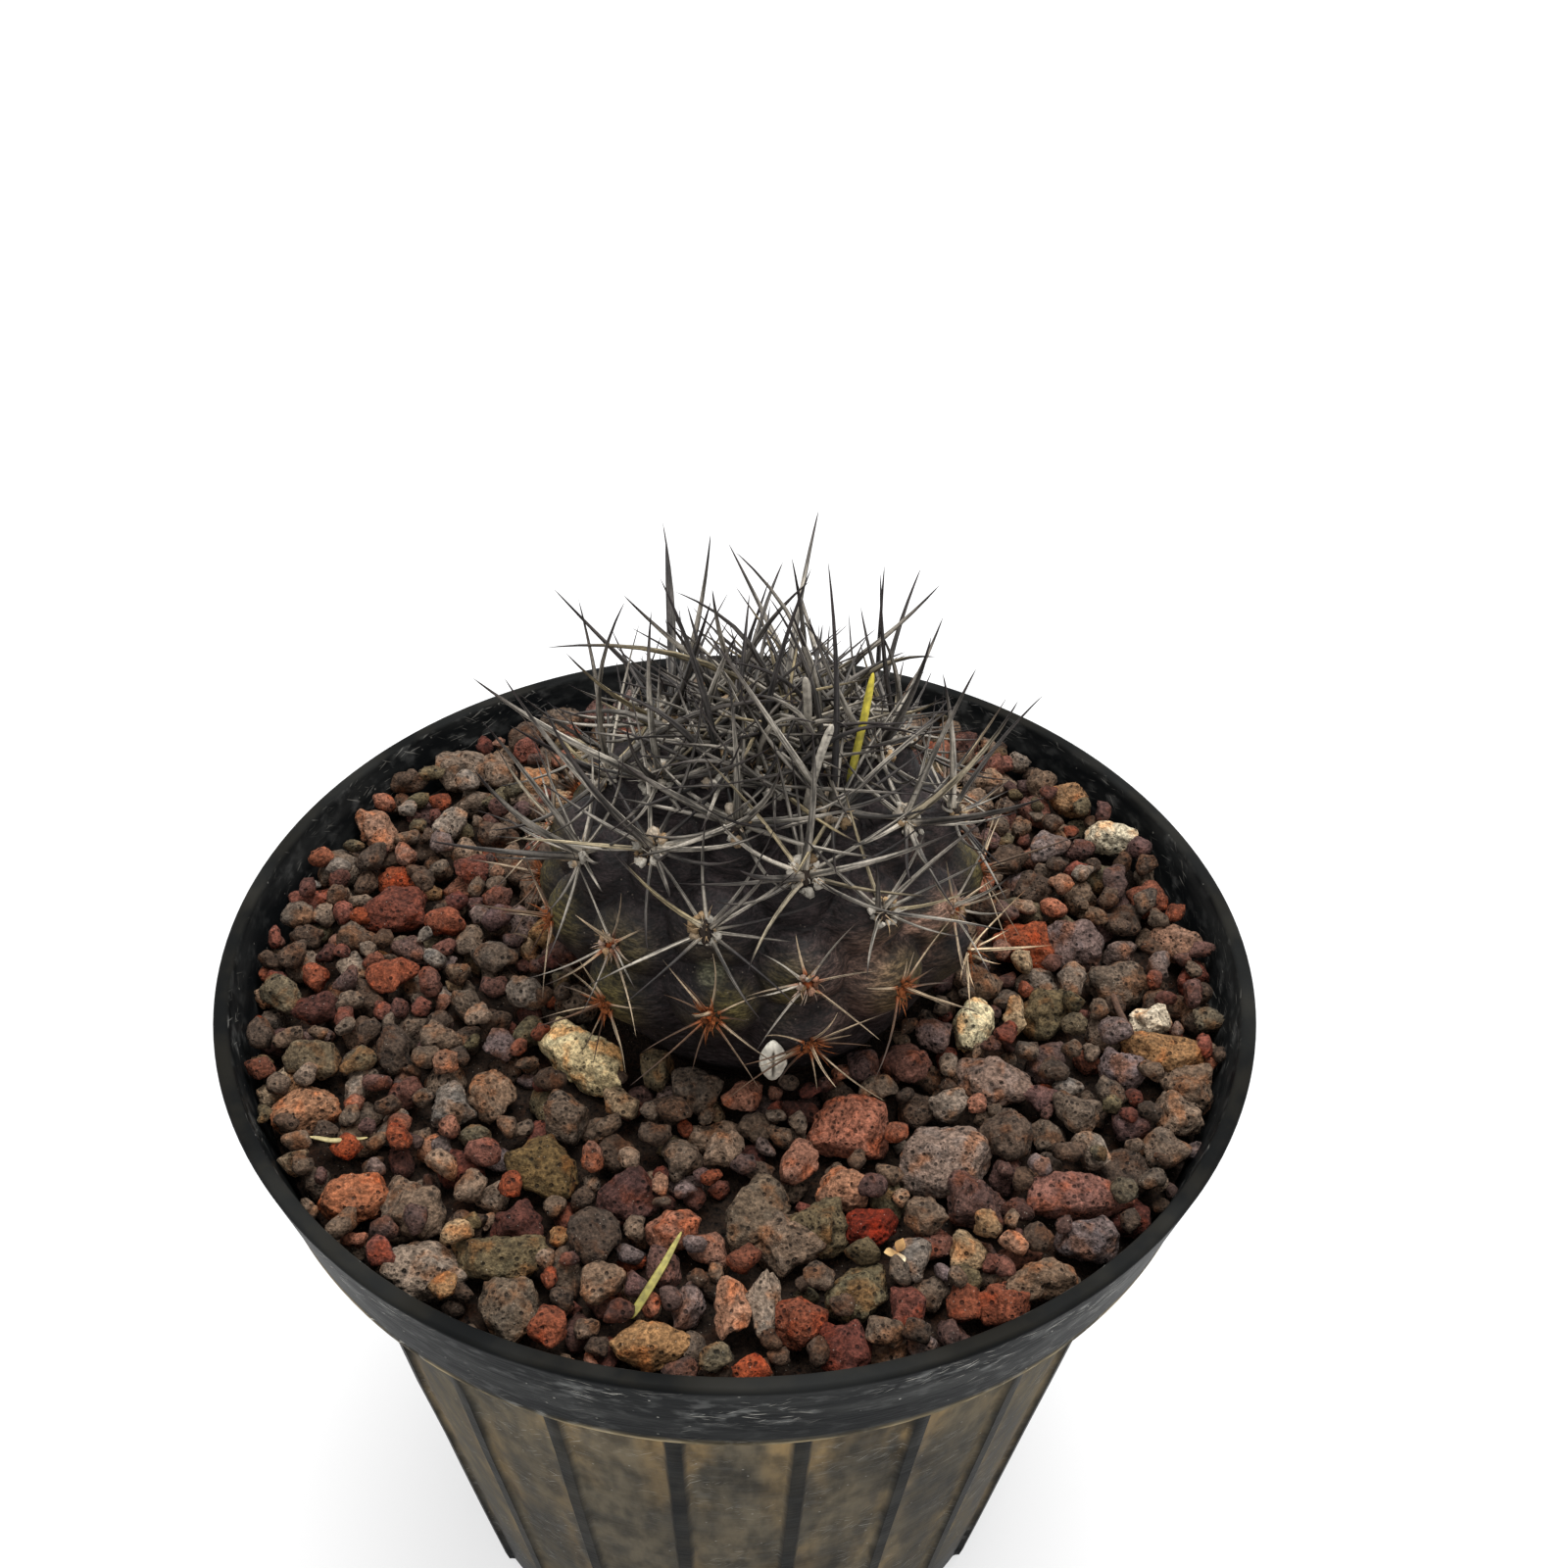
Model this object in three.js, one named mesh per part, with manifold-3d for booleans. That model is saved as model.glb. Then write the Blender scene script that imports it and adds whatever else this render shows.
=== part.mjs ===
// A potted Neoporteria confinis: a small dark cactus with long grey spines, rooted in
// lava grit that fills a ribbed black nursery pot.
// Millimetres, +Z up. The origin is the centre of the pot's foot, and -Y is the front.
import * as THREE from "three";
import { mergeVertices } from "three/addons/utils/BufferGeometryUtils.js";
import Module from "manifold-3d";

const wasm = await Module();
wasm.setup();

// Clearance between pieces that touch, and what booleans may smooth away
const GAP = 0.35;
const SMOOTHING = 0.02;

// Pot: a tapered cup with a deep rim band, upright ribs and a raised, drilled floor
const POT = {
  height: 96,
  rimRadius: 60,
  lipWidth: 1.8,
  lipChamfer: 0.5,
  bandHeight: 14,
  bandFootRadius: 56.7,
  bandWall: 1.5,
  wallTopRadius: 52.5,
  footRadius: 39.4,
  wall: 1.3,
  footRingWidth: 3.2,
  floorLift: 3,
  floorThickness: 1.8,
  segments: 48,
};
const RIB = {
  count: 24,
  firstAzimuth: -80.35,
  topWidth: 2.4,
  footWidth: 1.6,
  proud: 0.6,
  footHeight: 1,
};
const DRAIN = { count: 6, radius: 4, circleRadius: 26, sides: 12 };

// Filling: potting mix up to the rim band's inner ledge, then a bed of grit
const BED_TOP = 89.6;
const GRIT = {
  count: 134,
  fieldRadius: 55,
  stoneRadius: 5,
  height: 3.4,
  sunk: 1,
  topShare: 0.62,
  lean: 0.6,
  slope: 2,
  wander: 1,
  stemClearance: 20,
  smoothing: 0.1,
};
const GOLDEN_ANGLE = THREE.MathUtils.degToRad(137.508);

// Stem: a flattened globe whose lower end narrows underground to a taproot
const STEM = {
  x: 2.45,
  y: 1.8,
  z: 103,
  radius: 22.6,
  halfHeight: 19.2,
  buriedLatitude: -30,
  tubercleHeight: 3.2,
  tubercleSpread: 12,
  crownDimple: 0.07,
  columns: 28,
  globeRows: 18,
  rootRows: 6,
  holeSides: 24,
};
const ROOT_PROFILE = [
  [17.2, 89.6],
  [11.6, 85.2],
  [7.2, 79.5],
  [4.4, 71],
  [2.4, 62],
  [0, 56],
];

// Areoles: 14 ribs, with the rows of every other rib set between those of its neighbours
const RIBS = 14;
const FIRST_RIB_AZIMUTH = 13;
const ROWS_OF_EVEN_RIBS = [73, 47.5, 20, 0];
const ROWS_OF_ODD_RIBS = [82, 61, 33, 9.5];
const AREOLE_WANDER = 6;

// Spines: each pair runs from the old areoles near the ground to the young ones on top
const OLD_LATITUDE = 12;
const YOUNG_LATITUDE = 50;
const CENTRAL = {
  length: [9.5, 19],
  radius: [0.34, 0.44],
  lift: [64, 50],
  spread: [24, 34],
  fan: [58, 84],
};
const RADIAL = {
  radials: 12,
  step: 3,
  length: [9, 14.5],
  radius: [0.28, 0.34],
  lift: [18, 20],
  fan: [340, 290],
};

// Spines of the crown lie over one another, fewer here than they grow
const CROWN_LATITUDE = 70;
const CROWN = {
  centrals: 2,
  radials: 8,
  step: 5,
  lift: [16, 58],
  length: [12.5, 19],
  bow: [0.4, 2.6],
};

// Leading spines stand out by themselves: rib and row of the areole, place of the tip, upward bow
const LEADING_SPINES = [
  [6, 0, 8, 30, 137, 0.9],
  [6, 0, -21, 4, 134, 3.6],
  [4, 0, -1, 5, 146, 2.4],
  [13, 0, 7, -1, 148, 0.8],
  [1, 1, 8.6, 2, 147, 1],
  [1, 1, -3, -8, 144.5, 0.8],
  [5, 2, 20.5, 30, 129.5, 0.6],
  [7, 1, 4, 28, 131, 1.2],
  [5, 0, -7.5, 8, 139, 3.2],
  [12, 0, -8, -3, 147.5, 0.5],
  [10, 1, -12, 2, 141.5, 2],
  [10, 1, 7, -6, 135, 2.6],
  [9, 2, -18, 10, 136.5, -1.4],
  [8, 1, -10, 30, 132.5, 1],
  [11, 1, -9, -2, 143, 0.6],
  [11, 1, -27, -6, 137, -0.8],
  [5, 1, 21, 8, 131.5, 1.6],
  [8, 0, 7, 10, 139.5, 1.6],
  [3, 1, 19.5, 0, 139.5, -0.7],
  [4, 1, 14.5, 8, 135, 1],
  [3, 2, 21, 0, 135, 0.6],
  [2, 1, 28, -8, 137.5, -1.1],
  [2, 1, 24, -4, 138.5, -1.2],
  [2, 1, 30.5, -16, 131.5, -0.9],
  [12, 1, -23, -10, 140, -1.2],
  [12, 1, -18.5, -14, 139, -0.7],
  [11, 2, -26, -8, 133, -1.2],
  [11, 2, -26.5, -12, 130, -1.1],
  [11, 2, -31.5, -14, 122, -0.7],
];
const SPINE_SET_OUT = 1.15;
const SPINE_ROOT = 1.2;
const SPINE_MIDDLE = 0.55;
const SPINE_MIDDLE_TAPER = 0.62;
const SHOWN_BOW = 0.85;
const SPINE_FLOOR = 94.2;
const SPINE_FLOOR_SOFTNESS = 3;
const LIFT_STEP = 9;
const LIFT_TRIES = 7;

// Large stones that lie on the bed: place of the centre, width, depth, thickness, turn, colour
const LARGE_STONES = {
  cream_stone: [-17.0, -15.2, 91.6, 13.5, 6.4, 6.4, -36, 0xb9a78d],
  cream_slim_stone: [27.4, -8.4, 91.6, 4.4, 7.8, 5.2, -20, 0xb5a283],
  brick_red_stone: [13.2, -24.6, 91.6, 8.8, 8.2, 6.4, 12, 0x70403a],
  pitted_grey_stone: [22.6, -29.2, 92.0, 10.6, 8.4, 6.6, 18, 0x6f625e],
  lilac_grey_stone: [29.2, -17.4, 91.6, 8.8, 7.0, 5.6, -14, 0x77686a],
  purple_long_stone: [36.2, -33.4, 92.0, 11.6, 4.8, 4.4, 4, 0x6b4347],
  bright_rust_stone: [14.9, -37.9, 92.0, 5.2, 5.0, 4.4, 20, 0x8c3218],
  terracotta_stone: [-38.6, -36.0, 91.4, 7.8, 6.0, 5.2, 10, 0x9c5a43],
  grey_block_stone: [-20.4, -48.6, 91.4, 6.0, 7.2, 5.8, 24, 0x6d6258],
  olive_block_stone: [-19.4, -31.0, 91.8, 8.8, 7.0, 5.8, -22, 0x66553f],
  plum_stone: [-10.3, -34.6, 91.6, 6.4, 6.2, 5.2, 15, 0x5b3c3c],
  grey_long_stone: [2.8, -36.6, 92.0, 6.2, 10.2, 5.8, -28, 0x6a5f57],
  tan_stone: [-6.6, -52.0, 91.6, 7.8, 4.8, 4.6, -6, 0x927a62],
  brick_slab_stone: [-42.4, 8.0, 91.8, 9.4, 6.6, 5.0, 6, 0x7b4540],
  off_white_stone: [47.4, 25.0, 92.4, 7.0, 5.0, 4.8, -20, 0xa39c8e],
  salmon_flat_stone: [-46.2, -24.2, 91.4, 7.6, 6.2, 4.6, 16, 0x915c4a],
};
const LARGE_STONE_PLANES = 15;

// Loose dry bits: a strip is a route of points with a width and a thickness
const STRIPS = {
  crown_grass_blade: {
    route: [[11.6, -4.6, 123.2], [12.7, -2.6, 128.4], [13.8, 0.2, 134.6]],
    width: 1,
    thickness: 0.7,
    colour: 0x9a9434,
  },
  front_straw: {
    route: [[-4.3, -41.9, 95.0], [-6.3, -46.0, 94.0], [-8.2, -49.2, 93.0]],
    width: 1.1,
    thickness: 0.7,
    colour: 0xa59a4c,
  },
  left_straw: {
    route: [[-44.4, -29.4, 93.0], [-41.4, -30.0, 93.3], [-38.2, -29.2, 92.9]],
    width: 0.7,
    thickness: 0.7,
    colour: 0xb3a488,
  },
  brown_twig: {
    route: [[43.8, -4.8, 93.2], [44.4, -8.0, 92.9], [45.6, -11.2, 92.4]],
    width: 0.8,
    thickness: 0.8,
    colour: 0x4a3327,
  },
};
const STRIP_END_SHARE = 0.4;
const HUSK = { azimuth: 4.5, latitude: -6, size: [1.4, 0.9, 2.9], colour: 0xc9c6bd };
const FLOWER_BIT = { place: [17.4, -42.2, 93.4], size: [1.3, 1.6, 0.8], colour: 0xcbbf98 };

// Old flat spines that stand blunt and pale in the crown
const CROWN_RIBBONS = [
  [[6.4, -1.2, 121.8], [7.1, -1.9, 128.5], [6.7, -2.0, 135.4]],
  [[7.0, -8.6, 120.6], [7.9, -8.2, 127.3], [9.6, -6.2, 132.4]],
];
const CROWN_RIBBON = { width: 1.1, thickness: 0.7 };

const COLOURS = {
  pot: 0x1b1d20,
  mix: 0x3a2b21,
  grit: 0x5c4238,
  cactus: 0x2c2426,
};

const rad = THREE.MathUtils.degToRad;
const mix = THREE.MathUtils.lerp;
const smoothstep = THREE.MathUtils.smoothstep;
const UP = new THREE.Vector3(0, 0, 1);

// A fixed pseudo-random number from 0 to 1 for three whole numbers.
function draw(i, j = 0, k = 0) {
  const wave = Math.sin(i * 12.9898 + j * 78.233 + k * 37.719) * 43758.5453;
  return wave - Math.floor(wave);
}

// A closed geometry as a solid, turned right side out.
function solidOf(geometry) {
  const bare = geometry.clone();
  bare.deleteAttribute("normal");
  bare.deleteAttribute("uv");
  const merged = mergeVertices(bare, 1e-4);
  const vertProperties = new Float32Array(merged.attributes.position.array);
  const triVerts = new Uint32Array(merged.index.array);
  const made = new wasm.Manifold(new wasm.Mesh({ numProp: 3, vertProperties, triVerts }));
  if (made.volume() > 0) return made;
  triVerts.reverse();
  return new wasm.Manifold(new wasm.Mesh({ numProp: 3, vertProperties, triVerts }));
}

// The largest body of a solid, without the scraps and sealed hollows that booleans leave.
function mainBody(solid, smoothing = SMOOTHING) {
  const bodies = solid.simplify(smoothing).decompose();
  return bodies.reduce((a, b) => (b.volume() > a.volume() ? b : a));
}

function geometryOf(solid) {
  const { vertProperties, triVerts } = solid.getMesh();
  return new THREE.BufferGeometry()
    .setAttribute("position", new THREE.BufferAttribute(vertProperties, 3))
    .setIndex(new THREE.BufferAttribute(triVerts, 1));
}

function part(name, solid, color, roughness = 0.9) {
  const material = new THREE.MeshStandardMaterial({ color, roughness, metalness: 0 });
  const mesh = new THREE.Mesh(geometryOf(solid), material);
  mesh.name = name;
  return mesh;
}

// A body of revolution about +Z from a profile of [radius, height] pairs.
function turned(profile, segments, phase = 0) {
  const points = profile.map(([r, z]) => new THREE.Vector2(r, z));
  const geometry = new THREE.LatheGeometry(points, segments);
  return solidOf(geometry.rotateX(Math.PI / 2).rotateZ(rad(phase)));
}

// A skin through rings of points, with flat ends. A last ring of one point makes a tip.
function lofted(rings) {
  const sides = rings[0].length;
  const positions = rings.flat().flatMap((p) => p.toArray());
  const faces = [];
  for (let i = 1; i < sides - 1; i++) faces.push(0, i + 1, i);
  rings.slice(1).forEach((ring, r) => {
    const low = r * sides;
    const high = low + sides;
    for (let i = 0; i < sides; i++) {
      const next = (i + 1) % sides;
      if (ring.length === 1) faces.push(low + i, low + next, high);
      else faces.push(low + i, low + next, high + next, low + i, high + next, high + i);
    }
  });
  const end = (rings.length - 1) * sides;
  if (rings.at(-1).length > 1) for (let i = 1; i < sides - 1; i++) faces.push(end, end + i, end + i + 1);
  const geometry = new THREE.BufferGeometry();
  geometry.setAttribute("position", new THREE.Float32BufferAttribute(positions, 3));
  return solidOf(geometry.setIndex(faces));
}

// Pot
function wallRadius(z) {
  return mix(POT.footRadius, POT.wallTopRadius, z / (POT.height - POT.bandHeight));
}

const FLOOR_TOP = POT.floorLift + POT.floorThickness;
const BAND_FOOT = POT.height - POT.bandHeight;
const LEDGE = BAND_FOOT + POT.bandWall;
const LIP_INNER_RADIUS = POT.rimRadius - POT.lipWidth;
const BAND_INNER_RADIUS = POT.bandFootRadius - POT.bandWall;
const POT_PHASE = RIB.firstAzimuth + 180 / POT.segments;

function ribBar(azimuth) {
  const section = (z, width) => {
    const centre = wallRadius(z);
    const corners = [
      [centre - RIB.proud, -width / 2],
      [centre + RIB.proud, -width / 2],
      [centre + RIB.proud, width / 2],
      [centre - RIB.proud, width / 2],
    ];
    return corners.map(([x, y]) => new THREE.Vector3(x, y, z).applyAxisAngle(UP, rad(azimuth)));
  };
  return lofted([section(RIB.footHeight, RIB.footWidth), section(BAND_FOOT + RIB.proud, RIB.topWidth)]);
}

function drainHole(index) {
  const angle = (2 * Math.PI * index) / DRAIN.count;
  const geometry = new THREE.CylinderGeometry(DRAIN.radius, DRAIN.radius, 2 * FLOOR_TOP, DRAIN.sides);
  geometry.rotateX(Math.PI / 2);
  geometry.translate(DRAIN.circleRadius * Math.cos(angle), DRAIN.circleRadius * Math.sin(angle), FLOOR_TOP);
  return solidOf(geometry);
}

function makePot() {
  const shell = turned(
    [
      [0, POT.floorLift],
      [POT.footRadius - POT.footRingWidth, POT.floorLift],
      [POT.footRadius - POT.footRingWidth, 0],
      [POT.footRadius, 0],
      [POT.wallTopRadius, BAND_FOOT],
      [POT.bandFootRadius, BAND_FOOT],
      [POT.rimRadius, POT.height - POT.lipChamfer],
      [POT.rimRadius - POT.lipChamfer, POT.height],
      [LIP_INNER_RADIUS + POT.lipChamfer, POT.height],
      [LIP_INNER_RADIUS, POT.height - POT.lipChamfer],
      [BAND_INNER_RADIUS, LEDGE],
      [wallRadius(LEDGE) - POT.wall, LEDGE],
      [wallRadius(FLOOR_TOP) - POT.wall, FLOOR_TOP],
      [0, FLOOR_TOP],
    ],
    POT.segments,
    POT_PHASE,
  );
  const bars = Array.from({ length: RIB.count }, (_, i) => ribBar(RIB.firstAzimuth + (i * 360) / RIB.count));
  const holes = Array.from({ length: DRAIN.count }, (_, i) => drainHole(i));
  return mainBody(wasm.Manifold.union([shell, ...bars]).subtract(wasm.Manifold.union(holes)));
}

// Stem
function direction(azimuth, latitude) {
  const flat = Math.cos(rad(latitude));
  return new THREE.Vector3(
    flat * Math.sin(rad(azimuth)),
    -flat * Math.cos(rad(azimuth)),
    Math.sin(rad(latitude)),
  );
}

const AREOLES = Array.from({ length: RIBS }, (_, rib) => rib).flatMap((rib) => {
  const rows = rib % 2 ? ROWS_OF_ODD_RIBS : ROWS_OF_EVEN_RIBS;
  return rows.map((latitude, row) => {
    const wander = AREOLE_WANDER * (draw(rib, row, 1) - 0.5);
    const azimuth = FIRST_RIB_AZIMUTH + (rib * 360) / RIBS + wander;
    return { rib, row, latitude, facing: direction(azimuth, latitude) };
  });
});

// How far the nearest tubercle lifts the skin in a direction.
function tubercleLift(facing) {
  const latitude = THREE.MathUtils.radToDeg(Math.asin(THREE.MathUtils.clamp(facing.z, -1, 1)));
  const nearest = Math.min(...AREOLES.map((areole) => areole.facing.angleTo(facing)));
  const bump = Math.exp(-((nearest / rad(STEM.tubercleSpread)) ** 2));
  return STEM.tubercleHeight * bump * smoothstep(latitude, -24, -6);
}

function stemPoint(facing) {
  const lift = tubercleLift(facing);
  const dimple = 1 - STEM.crownDimple * smoothstep(facing.z, 0.93, 1);
  return new THREE.Vector3(
    STEM.x + (STEM.radius + lift) * facing.x,
    STEM.y + (STEM.radius + lift) * facing.y,
    STEM.z + (STEM.halfHeight + lift) * facing.z * dimple,
  );
}

function stemNormal(facing) {
  return new THREE.Vector3(
    facing.x / STEM.radius,
    facing.y / STEM.radius,
    facing.z / STEM.halfHeight,
  ).normalize();
}

function buriedProfile() {
  const radius = STEM.radius * Math.cos(rad(STEM.buriedLatitude));
  const height = STEM.z + STEM.halfHeight * Math.sin(rad(STEM.buriedLatitude));
  return [[radius, height], ...ROOT_PROFILE];
}

function makeGlobe() {
  const rows = STEM.globeRows + STEM.rootRows;
  const geometry = new THREE.SphereGeometry(1, STEM.columns, rows).rotateX(Math.PI / 2);
  const root = new THREE.CatmullRomCurve3(buriedProfile().map(([r, z]) => new THREE.Vector3(r, 0, z)));
  const position = geometry.attributes.position;
  for (let i = 0; i < position.count; i++) {
    const row = Math.floor(i / (STEM.columns + 1));
    const azimuth = FIRST_RIB_AZIMUTH + ((i % (STEM.columns + 1)) * 360) / STEM.columns;
    const fraction = row / STEM.globeRows;
    if (fraction <= 1) {
      const point = stemPoint(direction(azimuth, mix(90, STEM.buriedLatitude, fraction)));
      position.setXYZ(i, ...point);
    } else {
      const place = root.getPoint((row - STEM.globeRows) / STEM.rootRows);
      const around = direction(azimuth, 0);
      const radius = row === rows ? 0 : place.x;
      position.setXYZ(i, STEM.x + radius * around.x, STEM.y + radius * around.y, place.z);
    }
  }
  return solidOf(geometry);
}

// The space that the buried stem and its root take up, a little larger than they are.
function stemHole() {
  const grown = buriedProfile().map(([r, z]) => [r + 2 * GAP, z]);
  const [mouthRadius, mouthHeight] = grown[0];
  const [, tipHeight] = grown.at(-1);
  const flare = STEM.radius - mouthRadius + STEM.tubercleHeight;
  const mouth = [[0, POT.height], [mouthRadius + flare, POT.height], [mouthRadius, mouthHeight]];
  const hole = turned([...mouth, ...grown.slice(1), [0, tipHeight - 2 * GAP]], STEM.holeSides);
  return hole.translate([STEM.x, STEM.y, 0]);
}

// Spines
function centralCount(latitude) {
  if (latitude > CROWN_LATITUDE) return CROWN.centrals;
  return 1 + Math.round(2 * smoothstep(latitude, OLD_LATITUDE, YOUNG_LATITUDE));
}

function centralSpine(inCrown, young, place, chance) {
  const radius = mix(...CENTRAL.radius, young) * (0.85 + 0.3 * chance(3));
  if (inCrown) {
    return {
      turn: 340 * (chance(0) - 0.5),
      lift: mix(...CROWN.lift, chance(1)),
      length: mix(...CROWN.length, chance(2)),
      bow: mix(...CROWN.bow, chance(4)),
      radius,
    };
  }
  const turn = place * mix(...CENTRAL.fan, young) + 44 * (chance(0) - 0.5);
  const upward = Math.cos(rad(turn)) * young;
  const length = mix(...CENTRAL.length, young) * (0.78 + 0.5 * chance(2));
  return {
    turn,
    lift: mix(...CENTRAL.lift, young) + mix(...CENTRAL.spread, young) * (chance(1) - 0.5) - 14 * upward,
    length,
    bow: -0.03 * length * (0.2 + 1.5 * chance(4)),
    radius,
  };
}

function radialSpine(inCrown, young, share, chance) {
  const turn = share * (inCrown ? 360 : mix(...RADIAL.fan, young)) + 22 * (chance(0) - 0.5);
  const upward = Math.cos(rad(turn)) * young;
  const length = mix(...RADIAL.length, young) * (1 + 0.16 * upward) * (0.74 + 0.52 * chance(2));
  const droop = -mix(0.015, 0.085, young) * (0.3 + 1.4 * chance(4));
  return {
    turn,
    lift: mix(...RADIAL.lift, young) - 5 * upward + 18 * (chance(1) - 0.5),
    length,
    bow: length * (inCrown ? 0.05 * (chance(4) - 0.3) : droop),
    radius: mix(...RADIAL.radius, young) * (0.85 + 0.3 * chance(3)),
  };
}

// Where spine number n of an areole points, its length, how far it bows upwards, and its radius.
function spineRule({ rib, row, latitude }, n) {
  const inCrown = latitude > CROWN_LATITUDE;
  const young = smoothstep(latitude, OLD_LATITUDE, YOUNG_LATITUDE);
  const centrals = centralCount(latitude);
  const chance = (k) => draw(rib + 1, 10 * row + n, 3 + k);
  if (n < centrals) return centralSpine(inCrown, young, n - (centrals - 1) / 2, chance);
  const { radials } = inCrown ? CROWN : RADIAL;
  return radialSpine(inCrown, young, (n - centrals + 0.5) / radials - 0.5, chance);
}

function ruledTip(areole, { turn, lift, length }, extraLift) {
  const outward = stemNormal(areole.facing);
  const upward = UP.clone().addScaledVector(outward, -outward.z).normalize();
  const sideways = new THREE.Vector3().crossVectors(upward, outward);
  const flat = length * Math.cos(rad(lift + extraLift));
  return stemPoint(areole.facing)
    .addScaledVector(upward, flat * Math.cos(rad(turn)))
    .addScaledVector(sideways, flat * Math.sin(rad(turn)))
    .addScaledVector(outward, length * Math.sin(rad(lift + extraLift)));
}

// Points near the ground are pressed up towards a floor, so that spines lie over the grit.
function aboveGround(point) {
  const excess = (point.z - SPINE_FLOOR) / SPINE_FLOOR_SOFTNESS;
  if (excess < 1) point.z = SPINE_FLOOR + SPINE_FLOOR_SOFTNESS * Math.exp(excess - 1);
  return point;
}

// A spine runs along P(t) = base + chord t + 4 bow side t (1 - t), from the skin to its tip.
function spineSolid(areole, tip, bow, radius) {
  const outward = stemNormal(areole.facing);
  const skin = stemPoint(areole.facing);
  const along = tip.clone().sub(skin).normalize();
  const base = skin
    .clone()
    .addScaledVector(along, SPINE_SET_OUT)
    .addScaledVector(outward, -SPINE_SET_OUT * along.dot(outward));
  const side = UP.clone().addScaledVector(outward, 0.5);
  side.addScaledVector(along, -side.dot(along)).normalize();
  const across = new THREE.Vector3().crossVectors(along, side);
  const course = (t) => aboveGround(base.clone().lerp(tip, t).addScaledVector(side, 4 * bow * t * (1 - t)));
  const ring = (centre, size) =>
    [0, 1, 2].map((corner) => {
      const angle = (2 * Math.PI * corner) / 3;
      return centre
        .clone()
        .addScaledVector(side, size * Math.cos(angle))
        .addScaledVector(across, size * Math.sin(angle));
    });
  const rings = [ring(base.clone().addScaledVector(outward, -SPINE_ROOT), radius)];
  if (Math.abs(bow) > SHOWN_BOW) rings.push(ring(course(SPINE_MIDDLE), radius * SPINE_MIDDLE_TAPER));
  return lofted([...rings, [course(1)]]);
}

// A spine that would cross what lies round the plant is bent up until it clears it.
function clearSpine(areole, n, obstacles) {
  const rule = spineRule(areole, n);
  for (let attempt = 0; attempt < LIFT_TRIES; attempt++) {
    const solid = spineSolid(areole, ruledTip(areole, rule, attempt * LIFT_STEP), rule.bow, rule.radius);
    if (solid.intersect(obstacles).isEmpty()) return [solid];
  }
  return [];
}

// Every central spine and some of the radial ones stand here, fewer where they crowd the crown.
function spineNumbers(latitude) {
  const { step, radials } = latitude > CROWN_LATITUDE ? CROWN : RADIAL;
  const centrals = centralCount(latitude);
  const numbers = Array.from({ length: centrals }, (_, n) => n);
  for (let n = centrals + 1; n < centrals + radials; n += step) numbers.push(n);
  return numbers;
}

// The spines of an areole, where leading spines stand in for its first centrals.
function areoleSpines(areole, obstacles) {
  const leading = LEADING_SPINES.filter(([rib, row]) => rib === areole.rib && row === areole.row);
  const first = Math.min(leading.length, centralCount(areole.latitude));
  const ruled = spineNumbers(areole.latitude).filter((n) => n >= first);
  return [
    ...leading.map(([, , x, y, z, bow]) =>
      spineSolid(areole, new THREE.Vector3(x, y, z), bow, CENTRAL.radius[1]),
    ),
    ...ruled.flatMap((n) => clearSpine(areole, n, obstacles)),
  ];
}

function makeCactus(obstacles) {
  const spines = AREOLES.flatMap((areole) => areoleSpines(areole, obstacles));
  const ribbons = CROWN_RIBBONS.map((route) => strip({ route, ...CROWN_RIBBON }, 0));
  return mainBody(wasm.Manifold.union([makeGlobe(), ...spines, ...ribbons]));
}

// Stones: a globe cut flat by planes that stand at random distances all round it
function cuttingPlanes(count, seed) {
  return Array.from({ length: count }, (_, i) => {
    const z = 1 - (2 * (i + 0.5)) / count;
    const angle = i * GOLDEN_ANGLE + 1.6 * (draw(seed, i, 5) - 0.5);
    const flat = Math.sqrt(1 - z * z);
    const normal = new THREE.Vector3(flat * Math.cos(angle), flat * Math.sin(angle), z);
    return { normal, distance: 0.74 + 0.24 * draw(seed, i, 6) };
  });
}

function stoneSolid({ centre, size, turn, tilt, seed, planes, detail, grow = 0 }) {
  const cuts = cuttingPlanes(planes, seed);
  const geometry = new THREE.IcosahedronGeometry(1, detail);
  const position = geometry.attributes.position;
  const point = new THREE.Vector3();
  const half = new THREE.Vector3(...size).multiplyScalar(0.5).addScalar(grow);
  for (let i = 0; i < position.count; i++) {
    point.fromBufferAttribute(position, i).normalize();
    const reach = cuts.map(({ normal, distance }) => distance / Math.max(point.dot(normal), 0.2));
    point.multiplyScalar(Math.min(1.12, ...reach)).multiply(half);
    position.setXYZ(i, ...point);
  }
  geometry.rotateX(rad(tilt)).rotateZ(rad(turn)).translate(...centre);
  return solidOf(geometry);
}

function largeStone(name, grow = 0) {
  const [x, y, z, width, depth, thickness, turn] = LARGE_STONES[name];
  const seed = 500 + Object.keys(LARGE_STONES).indexOf(name);
  const look = { seed, planes: LARGE_STONE_PLANES, detail: 1, grow };
  return stoneSolid({ centre: [x, y, z], size: [width, depth, thickness], turn, tilt: 6, ...look });
}

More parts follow.
